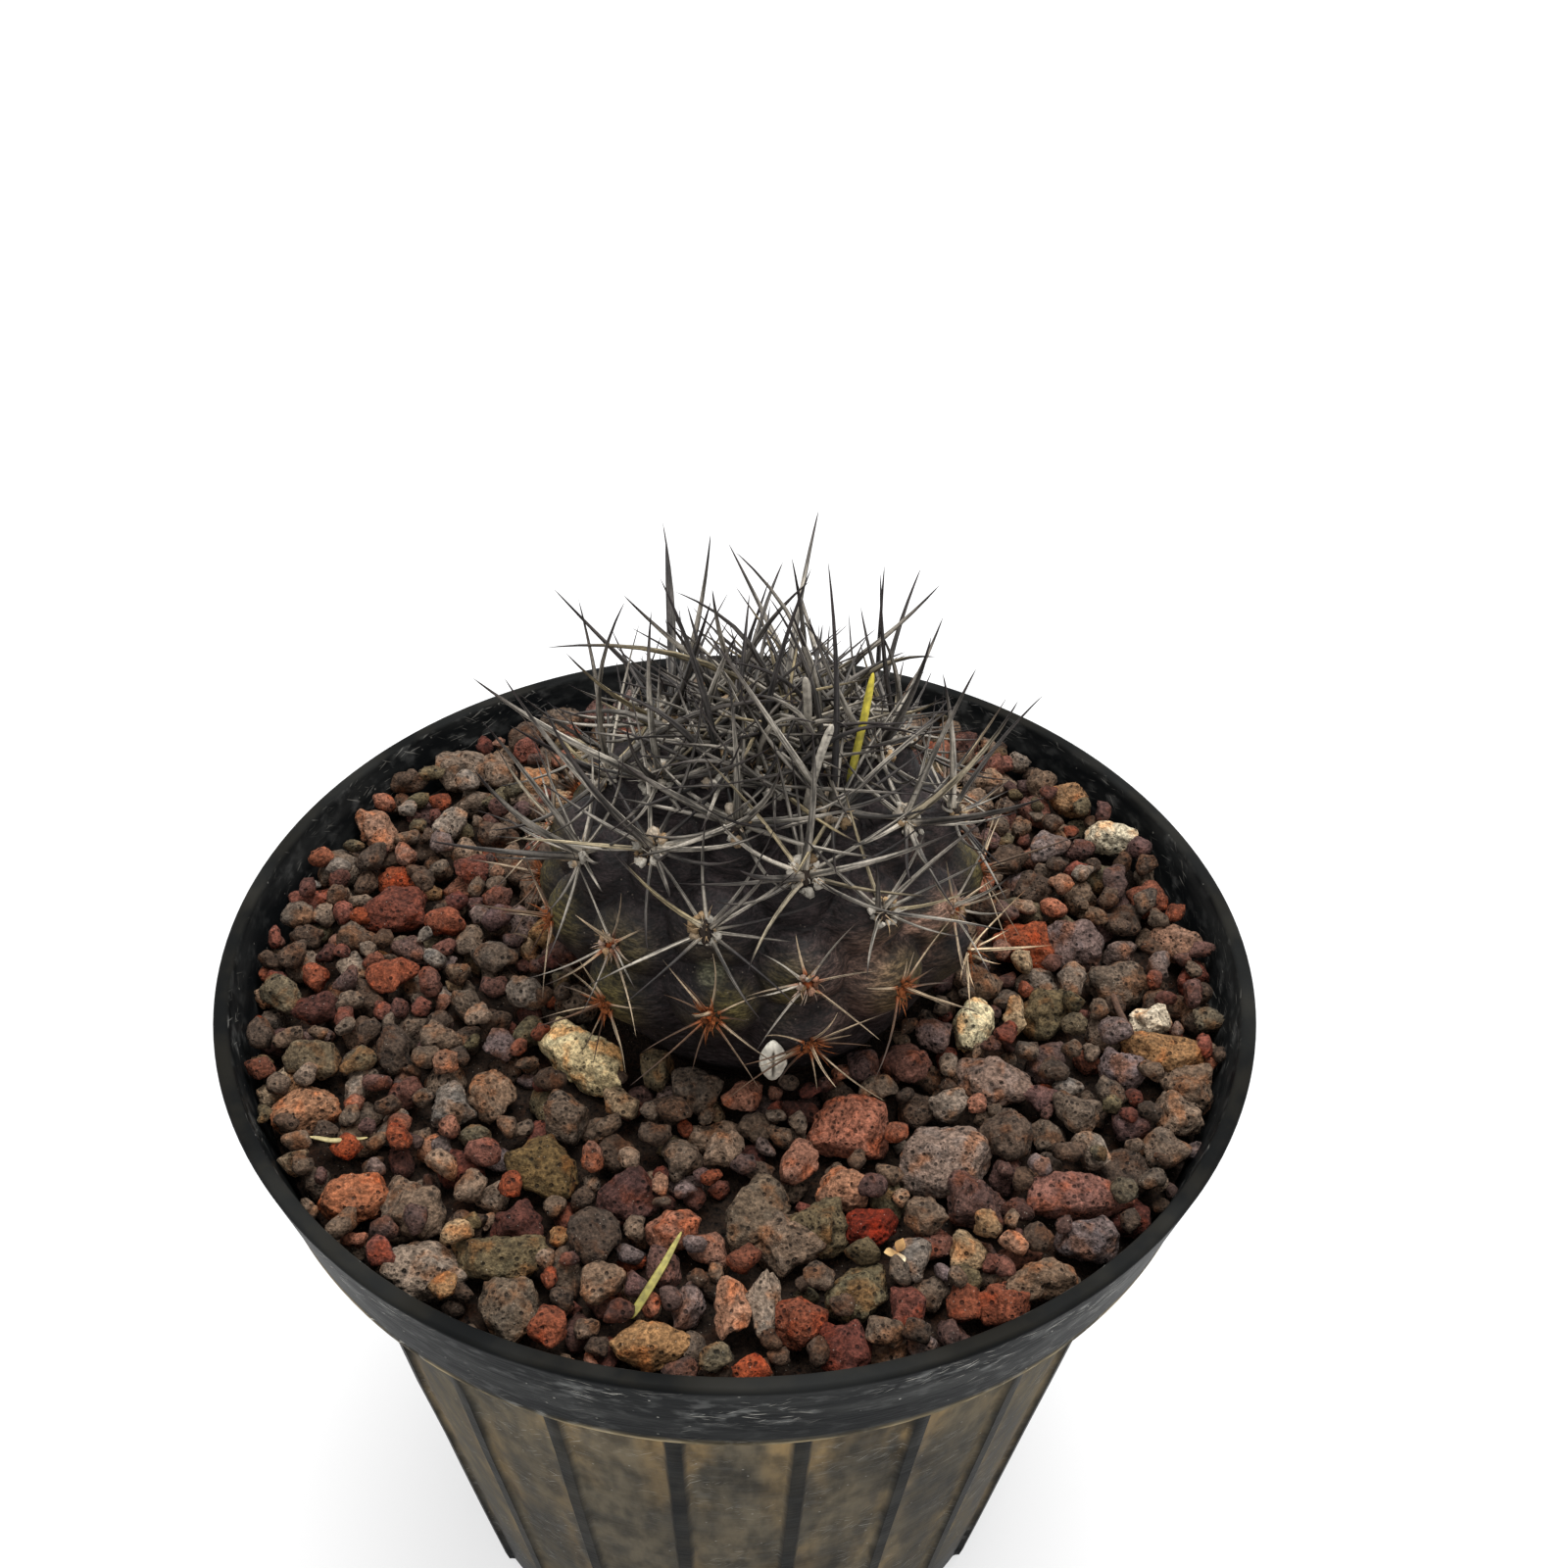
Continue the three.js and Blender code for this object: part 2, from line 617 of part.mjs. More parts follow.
// A grit stone is a rough chunk with five or six sides and a smaller, uneven top.
function gritStone(index) {
  const angle = index * GOLDEN_ANGLE;
  const reach = GRIT.fieldRadius * Math.sqrt((index + 0.5) / GRIT.count);
  const x = reach * Math.cos(angle) + GRIT.wander * (draw(index, 2) - 0.5);
  const y = reach * Math.sin(angle) + GRIT.wander * (draw(index, 3) - 0.5);
  if (Math.hypot(x - STEM.x, y - STEM.y) < GRIT.stemClearance) return [];
  const sides = 4 + Math.round(2 * draw(index, 1));
  const turn = 2 * Math.PI * draw(index, 7);
  const width = GRIT.stoneRadius * (0.86 + 0.28 * draw(index, 4));
  const narrow = width * (0.72 + 0.28 * draw(index, 5));
  const height = GRIT.height * (0.75 + 0.4 * draw(index, 6));
  const slope = GRIT.slope * draw(index, 10);
  const ring = (share, z, unevenness, shift) =>
    Array.from({ length: sides }, (_, i) => {
      const around = (2 * Math.PI * (i + 0.6 * draw(index, i, 8))) / sides;
      const lengthwise = share * width * Math.cos(around);
      const crosswise = share * narrow * Math.sin(around);
      const level = z - unevenness * draw(index, i, 9) + slope * shift * Math.cos(around);
      return new THREE.Vector3(lengthwise + shift, crosswise, level)
        .applyAxisAngle(UP, turn)
        .add(new THREE.Vector3(x, y, BED_TOP));
    });
  return [lofted([ring(1, -GRIT.sunk, 0, 0), ring(GRIT.topShare, height, 0.9, GRIT.lean)])];
}

// A flat strip along a route, narrower at both ends, thickened all round by grow.
function strip({ route, width, thickness }, grow) {
  const points = route.map((p) => new THREE.Vector3(...p));
  const along = points.at(-1).clone().sub(points[0]).normalize();
  const flatWay = Math.abs(along.z) > 0.5 ? new THREE.Vector3(0, 1, 0) : UP;
  const across = new THREE.Vector3().crossVectors(along, flatWay).normalize();
  const up = new THREE.Vector3().crossVectors(across, along).normalize();
  points[0].addScaledVector(along, -grow);
  points.at(-1).addScaledVector(along, grow);
  return lofted(
    points.map((point, i) => {
      const isEnd = i === 0 || i === points.length - 1;
      const halfWidth = (width / 2) * (isEnd ? STRIP_END_SHARE : 1) + grow;
      const halfThickness = thickness / 2 + grow;
      return [[-1, -1], [1, -1], [1, 1], [-1, 1]].map(([a, b]) =>
        point.clone().addScaledVector(across, a * halfWidth).addScaledVector(up, b * halfThickness),
      );
    }),
  );
}

// A small closed lump with half sizes given, turned about +Z.
function lump(centre, half, turn, grow) {
  const geometry = new THREE.IcosahedronGeometry(1, 1);
  geometry.scale(half[0] + grow, half[1] + grow, half[2] + grow);
  geometry.rotateZ(rad(turn)).translate(...centre);
  return solidOf(geometry);
}

// The husk leans on the stem, one gap clear of its skin.
function husk(grow = 0) {
  const facing = direction(HUSK.azimuth, HUSK.latitude);
  const centre = stemPoint(facing).addScaledVector(stemNormal(facing), HUSK.size[1] + GAP);
  return lump(centre.toArray(), HUSK.size, HUSK.azimuth, grow);
}

function flowerBit(grow = 0) {
  return lump(FLOWER_BIT.place, FLOWER_BIT.size, 20, grow);
}

// Filling
function makeMix() {
  const bottom = FLOOR_TOP + GAP;
  const radiusAt = (z) => wallRadius(z) - POT.wall - GAP;
  const plug = [[0, bottom], [radiusAt(bottom), bottom], [radiusAt(LEDGE), LEDGE], [0, LEDGE]];
  return mainBody(turned(plug, POT.segments, POT_PHASE).subtract(stemHole()));
}

// The space inside the rim band, one gap clear of the pot and of the potting mix.
function bedSpace(top) {
  const bottom = LEDGE + GAP;
  const radiusAt = (z) =>
    mix(BAND_INNER_RADIUS, LIP_INNER_RADIUS, (z - LEDGE) / (POT.height - POT.lipChamfer - LEDGE)) - GAP;
  const profile = [[0, bottom], [radiusAt(bottom), bottom], [radiusAt(top), top], [0, top]];
  return turned(profile, POT.segments, POT_PHASE);
}

function makeGravel(sockets) {
  const stones = Array.from({ length: GRIT.count }, (_, i) => gritStone(i)).flat();
  const heap = wasm.Manifold.union([bedSpace(BED_TOP), ...stones]);
  const bed = heap.intersect(bedSpace(POT.height)).subtract(sockets).subtract(stemHole());
  return mainBody(bed, GRIT.smoothing);
}

const stoneNames = Object.keys(LARGE_STONES);
const stripNames = Object.keys(STRIPS);
const grownStones = stoneNames.map((name) => largeStone(name, 1.3 * GAP));
const grownStrips = stripNames.map((name) => strip(STRIPS[name], GAP));
const sockets = wasm.Manifold.union([...grownStones, ...grownStrips, flowerBit(GAP)]);
const gravel = makeGravel(sockets);
const aroundPlant = wasm.Manifold.union([sockets, gravel, husk(GAP)]);

const plant = new THREE.Group();
plant.add(
  part("pot", makePot(), COLOURS.pot, 0.55),
  part("potting_mix", makeMix(), COLOURS.mix),
  part("lava_gravel", gravel, COLOURS.grit),
  part("cactus", makeCactus(aroundPlant), COLOURS.cactus, 0.7),
  ...stoneNames.map((name) => part(name, largeStone(name), LARGE_STONES[name].at(-1))),
  ...stripNames.map((name) => part(name, strip(STRIPS[name], 0), STRIPS[name].colour, 0.6)),
  part("white_husk", husk(), HUSK.colour, 0.6),
  part("dry_flower_bit", flowerBit(), FLOWER_BIT.colour),
);

export default plant;
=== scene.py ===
"""A potted Neoporteria confinis: the finished surfaces of its pot, grit, stem and spines.

Shapes are worked out in millimetres, +Z up and -Y to the front, and go into the meshes in metres.
"""
from __future__ import annotations

import logging
from dataclasses import dataclass, field
from enum import Enum
from itertools import product
from typing import Sequence

import bpy
import numpy as np
from mathutils import Matrix


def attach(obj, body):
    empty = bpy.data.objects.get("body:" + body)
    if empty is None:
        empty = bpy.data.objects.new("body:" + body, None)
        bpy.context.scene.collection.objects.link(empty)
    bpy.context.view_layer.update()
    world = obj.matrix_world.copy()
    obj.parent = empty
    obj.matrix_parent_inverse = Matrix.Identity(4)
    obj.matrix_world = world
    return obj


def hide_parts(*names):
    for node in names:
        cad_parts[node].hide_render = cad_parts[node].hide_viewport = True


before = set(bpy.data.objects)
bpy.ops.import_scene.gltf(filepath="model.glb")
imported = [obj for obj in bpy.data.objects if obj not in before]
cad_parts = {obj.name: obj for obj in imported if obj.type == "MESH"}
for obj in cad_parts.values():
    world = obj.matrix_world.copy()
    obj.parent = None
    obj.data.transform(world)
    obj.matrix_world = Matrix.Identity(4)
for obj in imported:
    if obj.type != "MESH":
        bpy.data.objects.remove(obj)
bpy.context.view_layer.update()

LOG = logging.getLogger("potted_cactus")
MM = 0.001
GOLDEN_ANGLE = np.radians(137.508)
UP = np.array([0.0, 0.0, 1.0])
CELL_FACTORS = np.array([73856093, 19349663, 83492791])
SEED_FACTOR = 2654435761
STIRRINGS = ((15, 2246822519), (13, 3266489917))
LOW_BITS = 0xFFFFFFFF
Array = np.ndarray
Object = bpy.types.Object
Material = bpy.types.Material
Socket = bpy.types.NodeSocket
Row = tuple[float, ...]
Pair = tuple[float, float]
Triple = tuple[float, float, float]
Colour = tuple[int, int, int]


# Numbers

def draw(i: Array | float, j: Array | float = 0.0, k: Array | float = 0.0) -> Array:
    """A fixed pseudo-random number: the fraction of 43758.5453 sin(12.9898 i + 78.233 j + 37.719 k)."""
    wave = np.sin(np.asarray(i) * 12.9898 + np.asarray(j) * 78.233 + np.asarray(k) * 37.719) * 43758.5453
    return wave - np.floor(wave)


def smoothstep(value: Array | float, low: float, high: float) -> Array:
    """0 below low, 1 above high, and 3t² - 2t³ between them."""
    t = np.clip((np.asarray(value) - low) / (high - low), 0, 1)
    return t * t * (3 - 2 * t)


def mix(a: Array | float, b: Array | float, share: Array | float) -> Array:
    """a where share is 0, b where it is 1, and in proportion between them."""
    return np.asarray(a) + (np.asarray(b) - np.asarray(a)) * share


def unit(vectors: Array) -> Array:
    """The vectors at length 1."""
    return vectors / np.linalg.norm(vectors, axis=-1, keepdims=True)


def linear(red: int, green: int, blue: int) -> Array:
    """A colour given as it looks on a screen, 0 to 255, as linear light."""
    shown = np.array([red, green, blue]) / 255
    return np.where(shown <= 0.04045, shown / 12.92, ((shown + 0.055) / 1.055) ** 2.4)


def circle(count: int) -> Array:
    """Angles in radians that part a full turn into equal steps."""
    return 2 * np.pi * np.arange(count) / count


def turned(x: Array, y: Array, angle: Array | float) -> tuple[Array, Array]:
    """Two coordinates turned by an angle in radians: x cos a - y sin a and x sin a + y cos a."""
    cos, sin = np.cos(angle), np.sin(angle)
    return x * cos - y * sin, x * sin + y * cos


def spun(radius: Array | float, angle: Array, height: Array | float) -> Array:
    """Points round the upright axis: (radius cos a, radius sin a, height), (..., 3)."""
    return np.stack(np.broadcast_arrays(radius * np.cos(angle), radius * np.sin(angle), height), axis=-1)


def hashed(cells: Array, seed: int) -> Array:
    """A fixed pseudo-random number from 0 to 1 for each cell of a lattice.

    Args:
        cells: whole numbers, (..., 3).
        seed: which of many such lattices.

    Returns:
        The numbers, (...).
    """
    mixed = ((cells * CELL_FACTORS).sum(axis=-1) + seed * SEED_FACTOR) & LOW_BITS
    for shift, factor in STIRRINGS:
        mixed = ((mixed ^ (mixed >> shift)) * factor) & LOW_BITS
    return (mixed ^ (mixed >> 16)) / LOW_BITS


def swells(points: Array, seed: int) -> Array:
    """Smooth noise from -1 to 1: random heights on a unit lattice, blended along each axis by 3t² - 2t³.

    Args:
        points: places, (..., 3), one lattice cell to a unit.
        seed: which of many such noises.

    Returns:
        The heights, (...).
    """
    cell = np.floor(points).astype(np.int64)
    t = points - cell
    t = t * t * (3 - 2 * t)
    total = np.zeros(points.shape[:-1])
    for corner in product((0, 1), repeat=3):
        offset = np.array(corner)
        weight = np.where(offset, t, 1 - t).prod(axis=-1)
        total += weight * hashed(cell + offset, seed)
    return 2 * total - 1


def pit_distance(points: Array, seed: int) -> Array:
    """Distance to the nearest of the random pit centres, of which each unit cell holds one.

    Args:
        points: places, (..., 3), one pit to a cubic unit.
        seed: which of many such scatters.

    Returns:
        The distances, (...).
    """
    cell = np.floor(points).astype(np.int64)
    nearest = np.full(points.shape[:-1], 9.0)
    for step in product((-1, 0, 1), repeat=3):
        neighbour = cell + np.array(step)
        jitter = np.stack([hashed(neighbour, seed + axis) for axis in range(3)], axis=-1)
        nearest = np.minimum(nearest, np.linalg.norm(points - neighbour - jitter, axis=-1))
    return nearest


# Meshes

def make_object(
    name: str, points: Array, faces: Sequence[Array], poles: Array | Sequence = (), **stored: Array
) -> Object:
    """A smooth-shaded mesh object at the origin.

    Args:
        name: the piece's name.
        points: corners in millimetres, (..., 3).
        faces: arrays of corner numbers, (faces, corners a face), each counter-clockwise from outside.
        poles: further corners, (n, 3).
        stored: what to paint on the corners, by the attribute's name.

    Returns:
        The object, linked into the scene.
    """
    points = np.concatenate([points.reshape(-1, 3), np.reshape(poles, (-1, 3))])
    mesh = bpy.data.meshes.new(name)
    corners = np.concatenate([part.ravel() for part in faces]).astype(np.int32)
    counts = np.concatenate([np.full(len(part), part.shape[1]) for part in faces])
    starts = np.concatenate([[0], np.cumsum(counts)[:-1]]).astype(np.int32)
    mesh.vertices.add(len(points))
    mesh.vertices.foreach_set("co", (points * MM).astype(np.float32).ravel())
    mesh.loops.add(len(corners))
    mesh.loops.foreach_set("vertex_index", corners)
    mesh.polygons.add(len(counts))
    mesh.polygons.foreach_set("loop_start", starts)
    mesh.polygons.foreach_set("use_smooth", np.ones(len(counts), dtype=bool))
    mesh.update(calc_edges=True)
    mesh.validate()
    obj = bpy.data.objects.new(name, mesh)
    bpy.context.scene.collection.objects.link(obj)
    for attribute, values in stored.items():
        paint(obj, attribute, values)
    return obj


def paint(obj: Object, name: str, values: Array) -> None:
    """Stores a number or a colour for each corner of a mesh.

    Args:
        obj: the piece.
        name: the attribute's name.
        values: (n,) numbers or (n, 3) linear colours.
    """
    if values.ndim == 1:
        layer = obj.data.attributes.new(name, "FLOAT", "POINT")
        layer.data.foreach_set("value", values.astype(np.float32))
        return
    layer = obj.data.color_attributes.new(name, "FLOAT_COLOR", "POINT")
    opaque = np.concatenate([values, np.ones((len(values), 1))], axis=1)
    layer.data.foreach_set("color", opaque.astype(np.float32).ravel())


def finish_piece(obj: Object, material: Material, node: str) -> None:
    """Dresses a new piece and lets it ride on the one body.

    Args:
        obj: the piece.
        material: its finish.
        node: the solid that it stands for, or for a part of it.
    """
    obj.data.materials.append(material)
    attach(obj, "root")
    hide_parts(node)
    LOG.info("%s: %d faces, stands for %s", obj.name, len(obj.data.polygons), node)


def grid_faces(rows: int, columns: int) -> Array:
    """Quads of a grid that closes on itself along its columns.

    Args:
        rows: points along the profile.
        columns: points round each row.

    Returns:
        Corner numbers, ((rows - 1) columns, 4).
    """
    row, column = np.meshgrid(np.arange(rows - 1), np.arange(columns), indexing="ij")
    after = (column + 1) % columns
    low, high = row * columns, (row + 1) * columns
    return np.stack([low + column, low + after, high + after, high + column], axis=-1).reshape(-1, 4)


def fan_faces(ring: int, columns: int, pole: int, outward: bool) -> Array:
    """Triangles from one ring of a grid to a pole.

    Args:
        ring: number of the ring's first corner.
        columns: corners in the ring.
        pole: number of the pole's corner.
        outward: True for the pole after the last ring, False for the one before the first.

    Returns:
        Corner numbers, (columns, 3).
    """
    column = np.arange(columns)
    after = (column + 1) % columns
    last = np.full(columns, pole)
    fan = [ring + column, ring + after, last] if outward else [ring + after, ring + column, last]
    return np.stack(fan, axis=-1)


def closed_faces(rows: int, columns: int) -> list[Array]:
    """Faces of a grid that a pole closes at each end, the poles numbered on after the grid's corners.

    Args:
        rows: points along the profile.
        columns: points round each row.

    Returns:
        The quads, the first pole's fan and the last pole's fan.
    """
    count = rows * columns
    return [
        grid_faces(rows, columns),
        fan_faces(0, columns, count, False),
        fan_faces(count - columns, columns, count + 1, True),
    ]


def cube_globe(cuts: int) -> tuple[Array, Array]:
    """A globe from a cube whose sides are cut into cuts x cuts squares, each pushed out to distance 1.

    Args:
        cuts: squares along a side.

    Returns:
        Unit directions, (n, 3), and quads.
    """
    ticks = np.tan(np.linspace(-1, 1, cuts + 1) * np.pi / 4)
    u, v = np.meshgrid(ticks, ticks, indexing="ij")
    one = np.ones_like(u)
    sides = [(one, u, v), (-one, v, u), (v, one, u), (u, -one, v), (u, v, one), (v, u, -one)]
    points = np.stack([np.stack(side, axis=-1) for side in sides]).reshape(-1, 3)
    shared, number = np.unique(np.round(points, 6), axis=0, return_inverse=True)
    number = number.reshape(6, cuts + 1, cuts + 1)
    quads = [number[:, :-1, :-1], number[:, 1:, :-1], number[:, 1:, 1:], number[:, :-1, 1:]]
    return unit(shared), np.stack(quads, axis=-1).reshape(-1, 4)


def repeated(faces: Array, copies: int, corners: int) -> Array:
    """The faces of one shape, numbered on for each of its copies."""
    return (faces[None] + (np.arange(copies) * corners)[:, None, None]).reshape(-1, faces.shape[1])


def needles(
    centres: Array, radii: Array, across: Array, over: Array, sides: int
) -> tuple[Array, list[Array]]:
    """Closed round needles: ring point = centre + radius (cos a · across + sin a · over), then a tip.

    Args:
        centres: middle of each ring and the tip, (needles, rings + 1, 3).
        radii: radius of each ring, (needles, rings).
        across: first direction across each needle, (needles, 3).
        over: second one, so that across x over points along the needle, (needles, 3).
        sides: sides of a needle.

    Returns:
        Points, (needles, rings sides + 2, 3), and faces: quads, foot fans and tip fans.
    """
    count, rings = radii.shape
    angle = circle(sides)[:, None]
    round_about = np.cos(angle) * across[:, None] + np.sin(angle) * over[:, None]
    rim = centres[:, :-1, None] + radii[:, :, None, None] * round_about[:, None]
    points = np.concatenate([rim.reshape(count, -1, 3), centres[:, :1], centres[:, -1:]], axis=1)
    return points, [repeated(part, count, points.shape[1]) for part in closed_faces(rings, sides)]


# Materials

class ScreenColour(Enum):
    """Colours given as they look on a screen, 0 to 255."""

    @property
    def light(self) -> Array:
        """The colour as linear light."""
        return linear(*self.value)


class Recipe:
    """One material's node tree, put together step by step."""

    def __init__(self, name: str, roughness: float, specular: float) -> None:
        """Starts a material.

        Args:
            name: its name.
            roughness: how dull it is.
            specular: how strongly it reflects.
        """
        self.material = bpy.data.materials.new(name)
        self.material.use_nodes = True
        self.nodes = self.material.node_tree.nodes
        self.links = self.material.node_tree.links
        self.shader = self.nodes["Principled BSDF"]
        self.shader.inputs["Roughness"].default_value = roughness
        self.shader.inputs["Specular IOR Level"].default_value = specular
        self.place = self.add("ShaderNodeTexCoord", {}).outputs["Object"]

    def add(self, kind: str, inputs: dict, **settings) -> bpy.types.Node:
        """Adds a node.

        Args:
            kind: its type.
            inputs: a socket to link or a value to set, for each input's name or number.
            settings: its properties.

        Returns:
            The node.
        """
        node = self.nodes.new(kind)
        for key, value in settings.items():
            setattr(node, key, value)
        for key, value in inputs.items():
            if isinstance(value, Socket):
                self.links.new(value, node.inputs[key])
            else:
                node.inputs[key].default_value = value
        return node

    def noise(self, per_mm: float, detail: float, place: Socket | None = None) -> Socket:
        """Cloudy noise from 0 to 1, with so many lumps to a millimetre."""
        inputs = {"Vector": place or self.place, "Scale": per_mm / MM, "Detail": detail}
        return self.add("ShaderNodeTexNoise", inputs).outputs["Fac"]

    def stretched(self, scale: Triple) -> Socket:
        """The place with each axis scaled, so that what is drawn there is drawn out along the low ones."""
        return self.add("ShaderNodeMapping", {"Vector": self.place, "Scale": scale}).outputs[0]

    def cells(self, per_mm: float) -> Socket:
        """Distance to the nearest of scattered points, with so many points to a millimetre."""
        inputs = {"Vector": self.place, "Scale": per_mm / MM}
        return self.add("ShaderNodeTexVoronoi", inputs).outputs["Distance"]

    def span(self, value: Socket, low: float, high: float, start: float = 0.0, end: float = 1.0) -> Socket:
        """start below low, end above high, and a smooth step between them."""
        inputs = {"Value": value, "From Min": low, "From Max": high, "To Min": start, "To Max": end}
        node = self.add("ShaderNodeMapRange", inputs, interpolation_type="SMOOTHSTEP", clamp=True)
        return node.outputs["Result"]

    def figure(self, operation: str, *values: Socket | float) -> Socket:
        """A sum on one number, or on several from left to right."""
        result, *others = values
        for other in others or [0.0]:
            result = self.add("ShaderNodeMath", {0: result, 1: other}, operation=operation).outputs["Value"]
        return result

    @staticmethod
    def opaque(colour: Socket | Sequence) -> Socket | tuple:
        """A plain colour with an alpha of 1, or the socket as it is."""
        return colour if isinstance(colour, Socket) else (*colour, 1.0)

    def blend(
        self, a: Socket | Sequence, b: Socket | Sequence, share: Socket | float, mode: str = "MIX"
    ) -> Socket:
        """Colour a with colour b laid over it by share."""
        inputs = {0: share, 6: self.opaque(a), 7: self.opaque(b)}
        return self.add("ShaderNodeMix", inputs, data_type="RGBA", blend_type=mode).outputs[2]

    def shade(self, colour: Socket | Sequence, *spans: tuple) -> Socket:
        """A colour made lighter or darker by each span in turn, given as the span method takes it."""
        for span in spans:
            inputs = {"Color": self.opaque(colour), "Value": self.span(*span)}
            colour = self.add("ShaderNodeHueSaturation", inputs).outputs["Color"]
        return colour

    def painted(self, name: str, output: str = "Color") -> Socket:
        """A stored colour (Color), number (Fac) or vector (Vector) of the piece."""
        return self.add("ShaderNodeAttribute", {}, attribute_name=name).outputs[output]

    def bump(self, height: Socket, depth_mm: float) -> Socket:
        """A relief of that depth."""
        inputs = {"Height": height, "Distance": depth_mm * MM, "Strength": 1.0}
        return self.add("ShaderNodeBump", inputs).outputs["Normal"]

    def done(self, colour: Socket, normal: Socket | None = None, roughness: Socket | None = None) -> Material:
        """Connects the shader and gives the material."""
        for name, end in (("Base Color", colour), ("Normal", normal), ("Roughness", roughness)):
            if end is not None:
                self.links.new(end, self.shader.inputs[name])
        return self.material


@dataclass(frozen=True)
class LavaFinish:
    """Porous lava: each stone's tint, clouded warm and cool, with a rough grain, pits darkened as painted
    shade, pale specks as painted glints, and painted shade where the stored hollow value is high.
    """

    warm_clouds_per_mm: float = 0.34
    cool_clouds_per_mm: float = 0.442
    mottles_per_mm: float = 0.8
    grain_per_mm: float = 2.4
    fine_grain_per_mm: float = 6.24
    wide_pits_per_mm: float = 0.9
    fine_pits_per_mm: float = 2.0
    pit_patches_per_mm: float = 0.3
    glints_per_mm: float = 1.3
    relief_mm: float = 0.36
    warm: Triple = (1.26, 0.84, 0.58)
    cool: Triple = (0.84, 0.92, 1.0)
    glint: Triple = (0.5, 0.44, 0.36)

    def material(self) -> Material:
        """The finish as a material."""
        recipe = Recipe("lava", roughness=0.9, specular=0.2)
        warm = recipe.span(recipe.noise(self.warm_clouds_per_mm, 4.0), 0.5, 0.66, 0.0, 0.9)
        cool = recipe.span(recipe.noise(self.cool_clouds_per_mm, 3.0), 0.5, 0.66, 0.0, 0.8)
        grain = recipe.noise(self.grain_per_mm, 5.0)
        wide = recipe.span(recipe.cells(self.wide_pits_per_mm), 0.12, 0.25)
        fine = recipe.span(recipe.cells(self.fine_pits_per_mm), 0.14, 0.30)
        unpitted = recipe.span(recipe.noise(self.pit_patches_per_mm, 2.0), 0.4, 0.6, 1.0, 0.0)
        pitted = recipe.figure("MAXIMUM", fine, unpitted)
        # Painted glints: where the pale specks lie, outside the fine pits.
        glint = recipe.span(recipe.cells(self.glints_per_mm), 0.05, 0.10, 0.55, 0.0)
        colour = recipe.blend(recipe.painted("tint"), self.cool, cool, "MULTIPLY")
        colour = recipe.blend(colour, self.warm, warm, "MULTIPLY")
        # Painted shade: besides their bump, the wide and the fine pits darken the colour (the last two
        # spans).
        colour = recipe.shade(
            colour,
            (recipe.noise(self.mottles_per_mm, 3.0), 0.32, 0.68, 0.72, 1.3),
            (grain, 0.34, 0.66, 0.6, 1.36),
            (recipe.noise(self.fine_grain_per_mm, 3.0), 0.34, 0.66, 0.8, 1.2),
            (wide, 0.0, 1.0, 0.3, 1.0),
            (pitted, 0.0, 1.0, 0.38, 1.0),
        )
        # Painted glints: the pale specks laid over the colour.
        colour = recipe.blend(colour, self.glint, recipe.figure("MULTIPLY", glint, fine))
        # Painted shade: the stored hollow value darkens the colour in each stone's recesses.
        colour = recipe.shade(colour, (recipe.painted("hollow", "Fac"), 0.0, 1.0, 0.84, 0.3))
        heights = [recipe.figure("MULTIPLY", *pair) for pair in ((wide, 0.9), (pitted, 0.5), (grain, 1.1))]
        return recipe.done(colour, recipe.bump(recipe.figure("ADD", *heights), self.relief_mm))


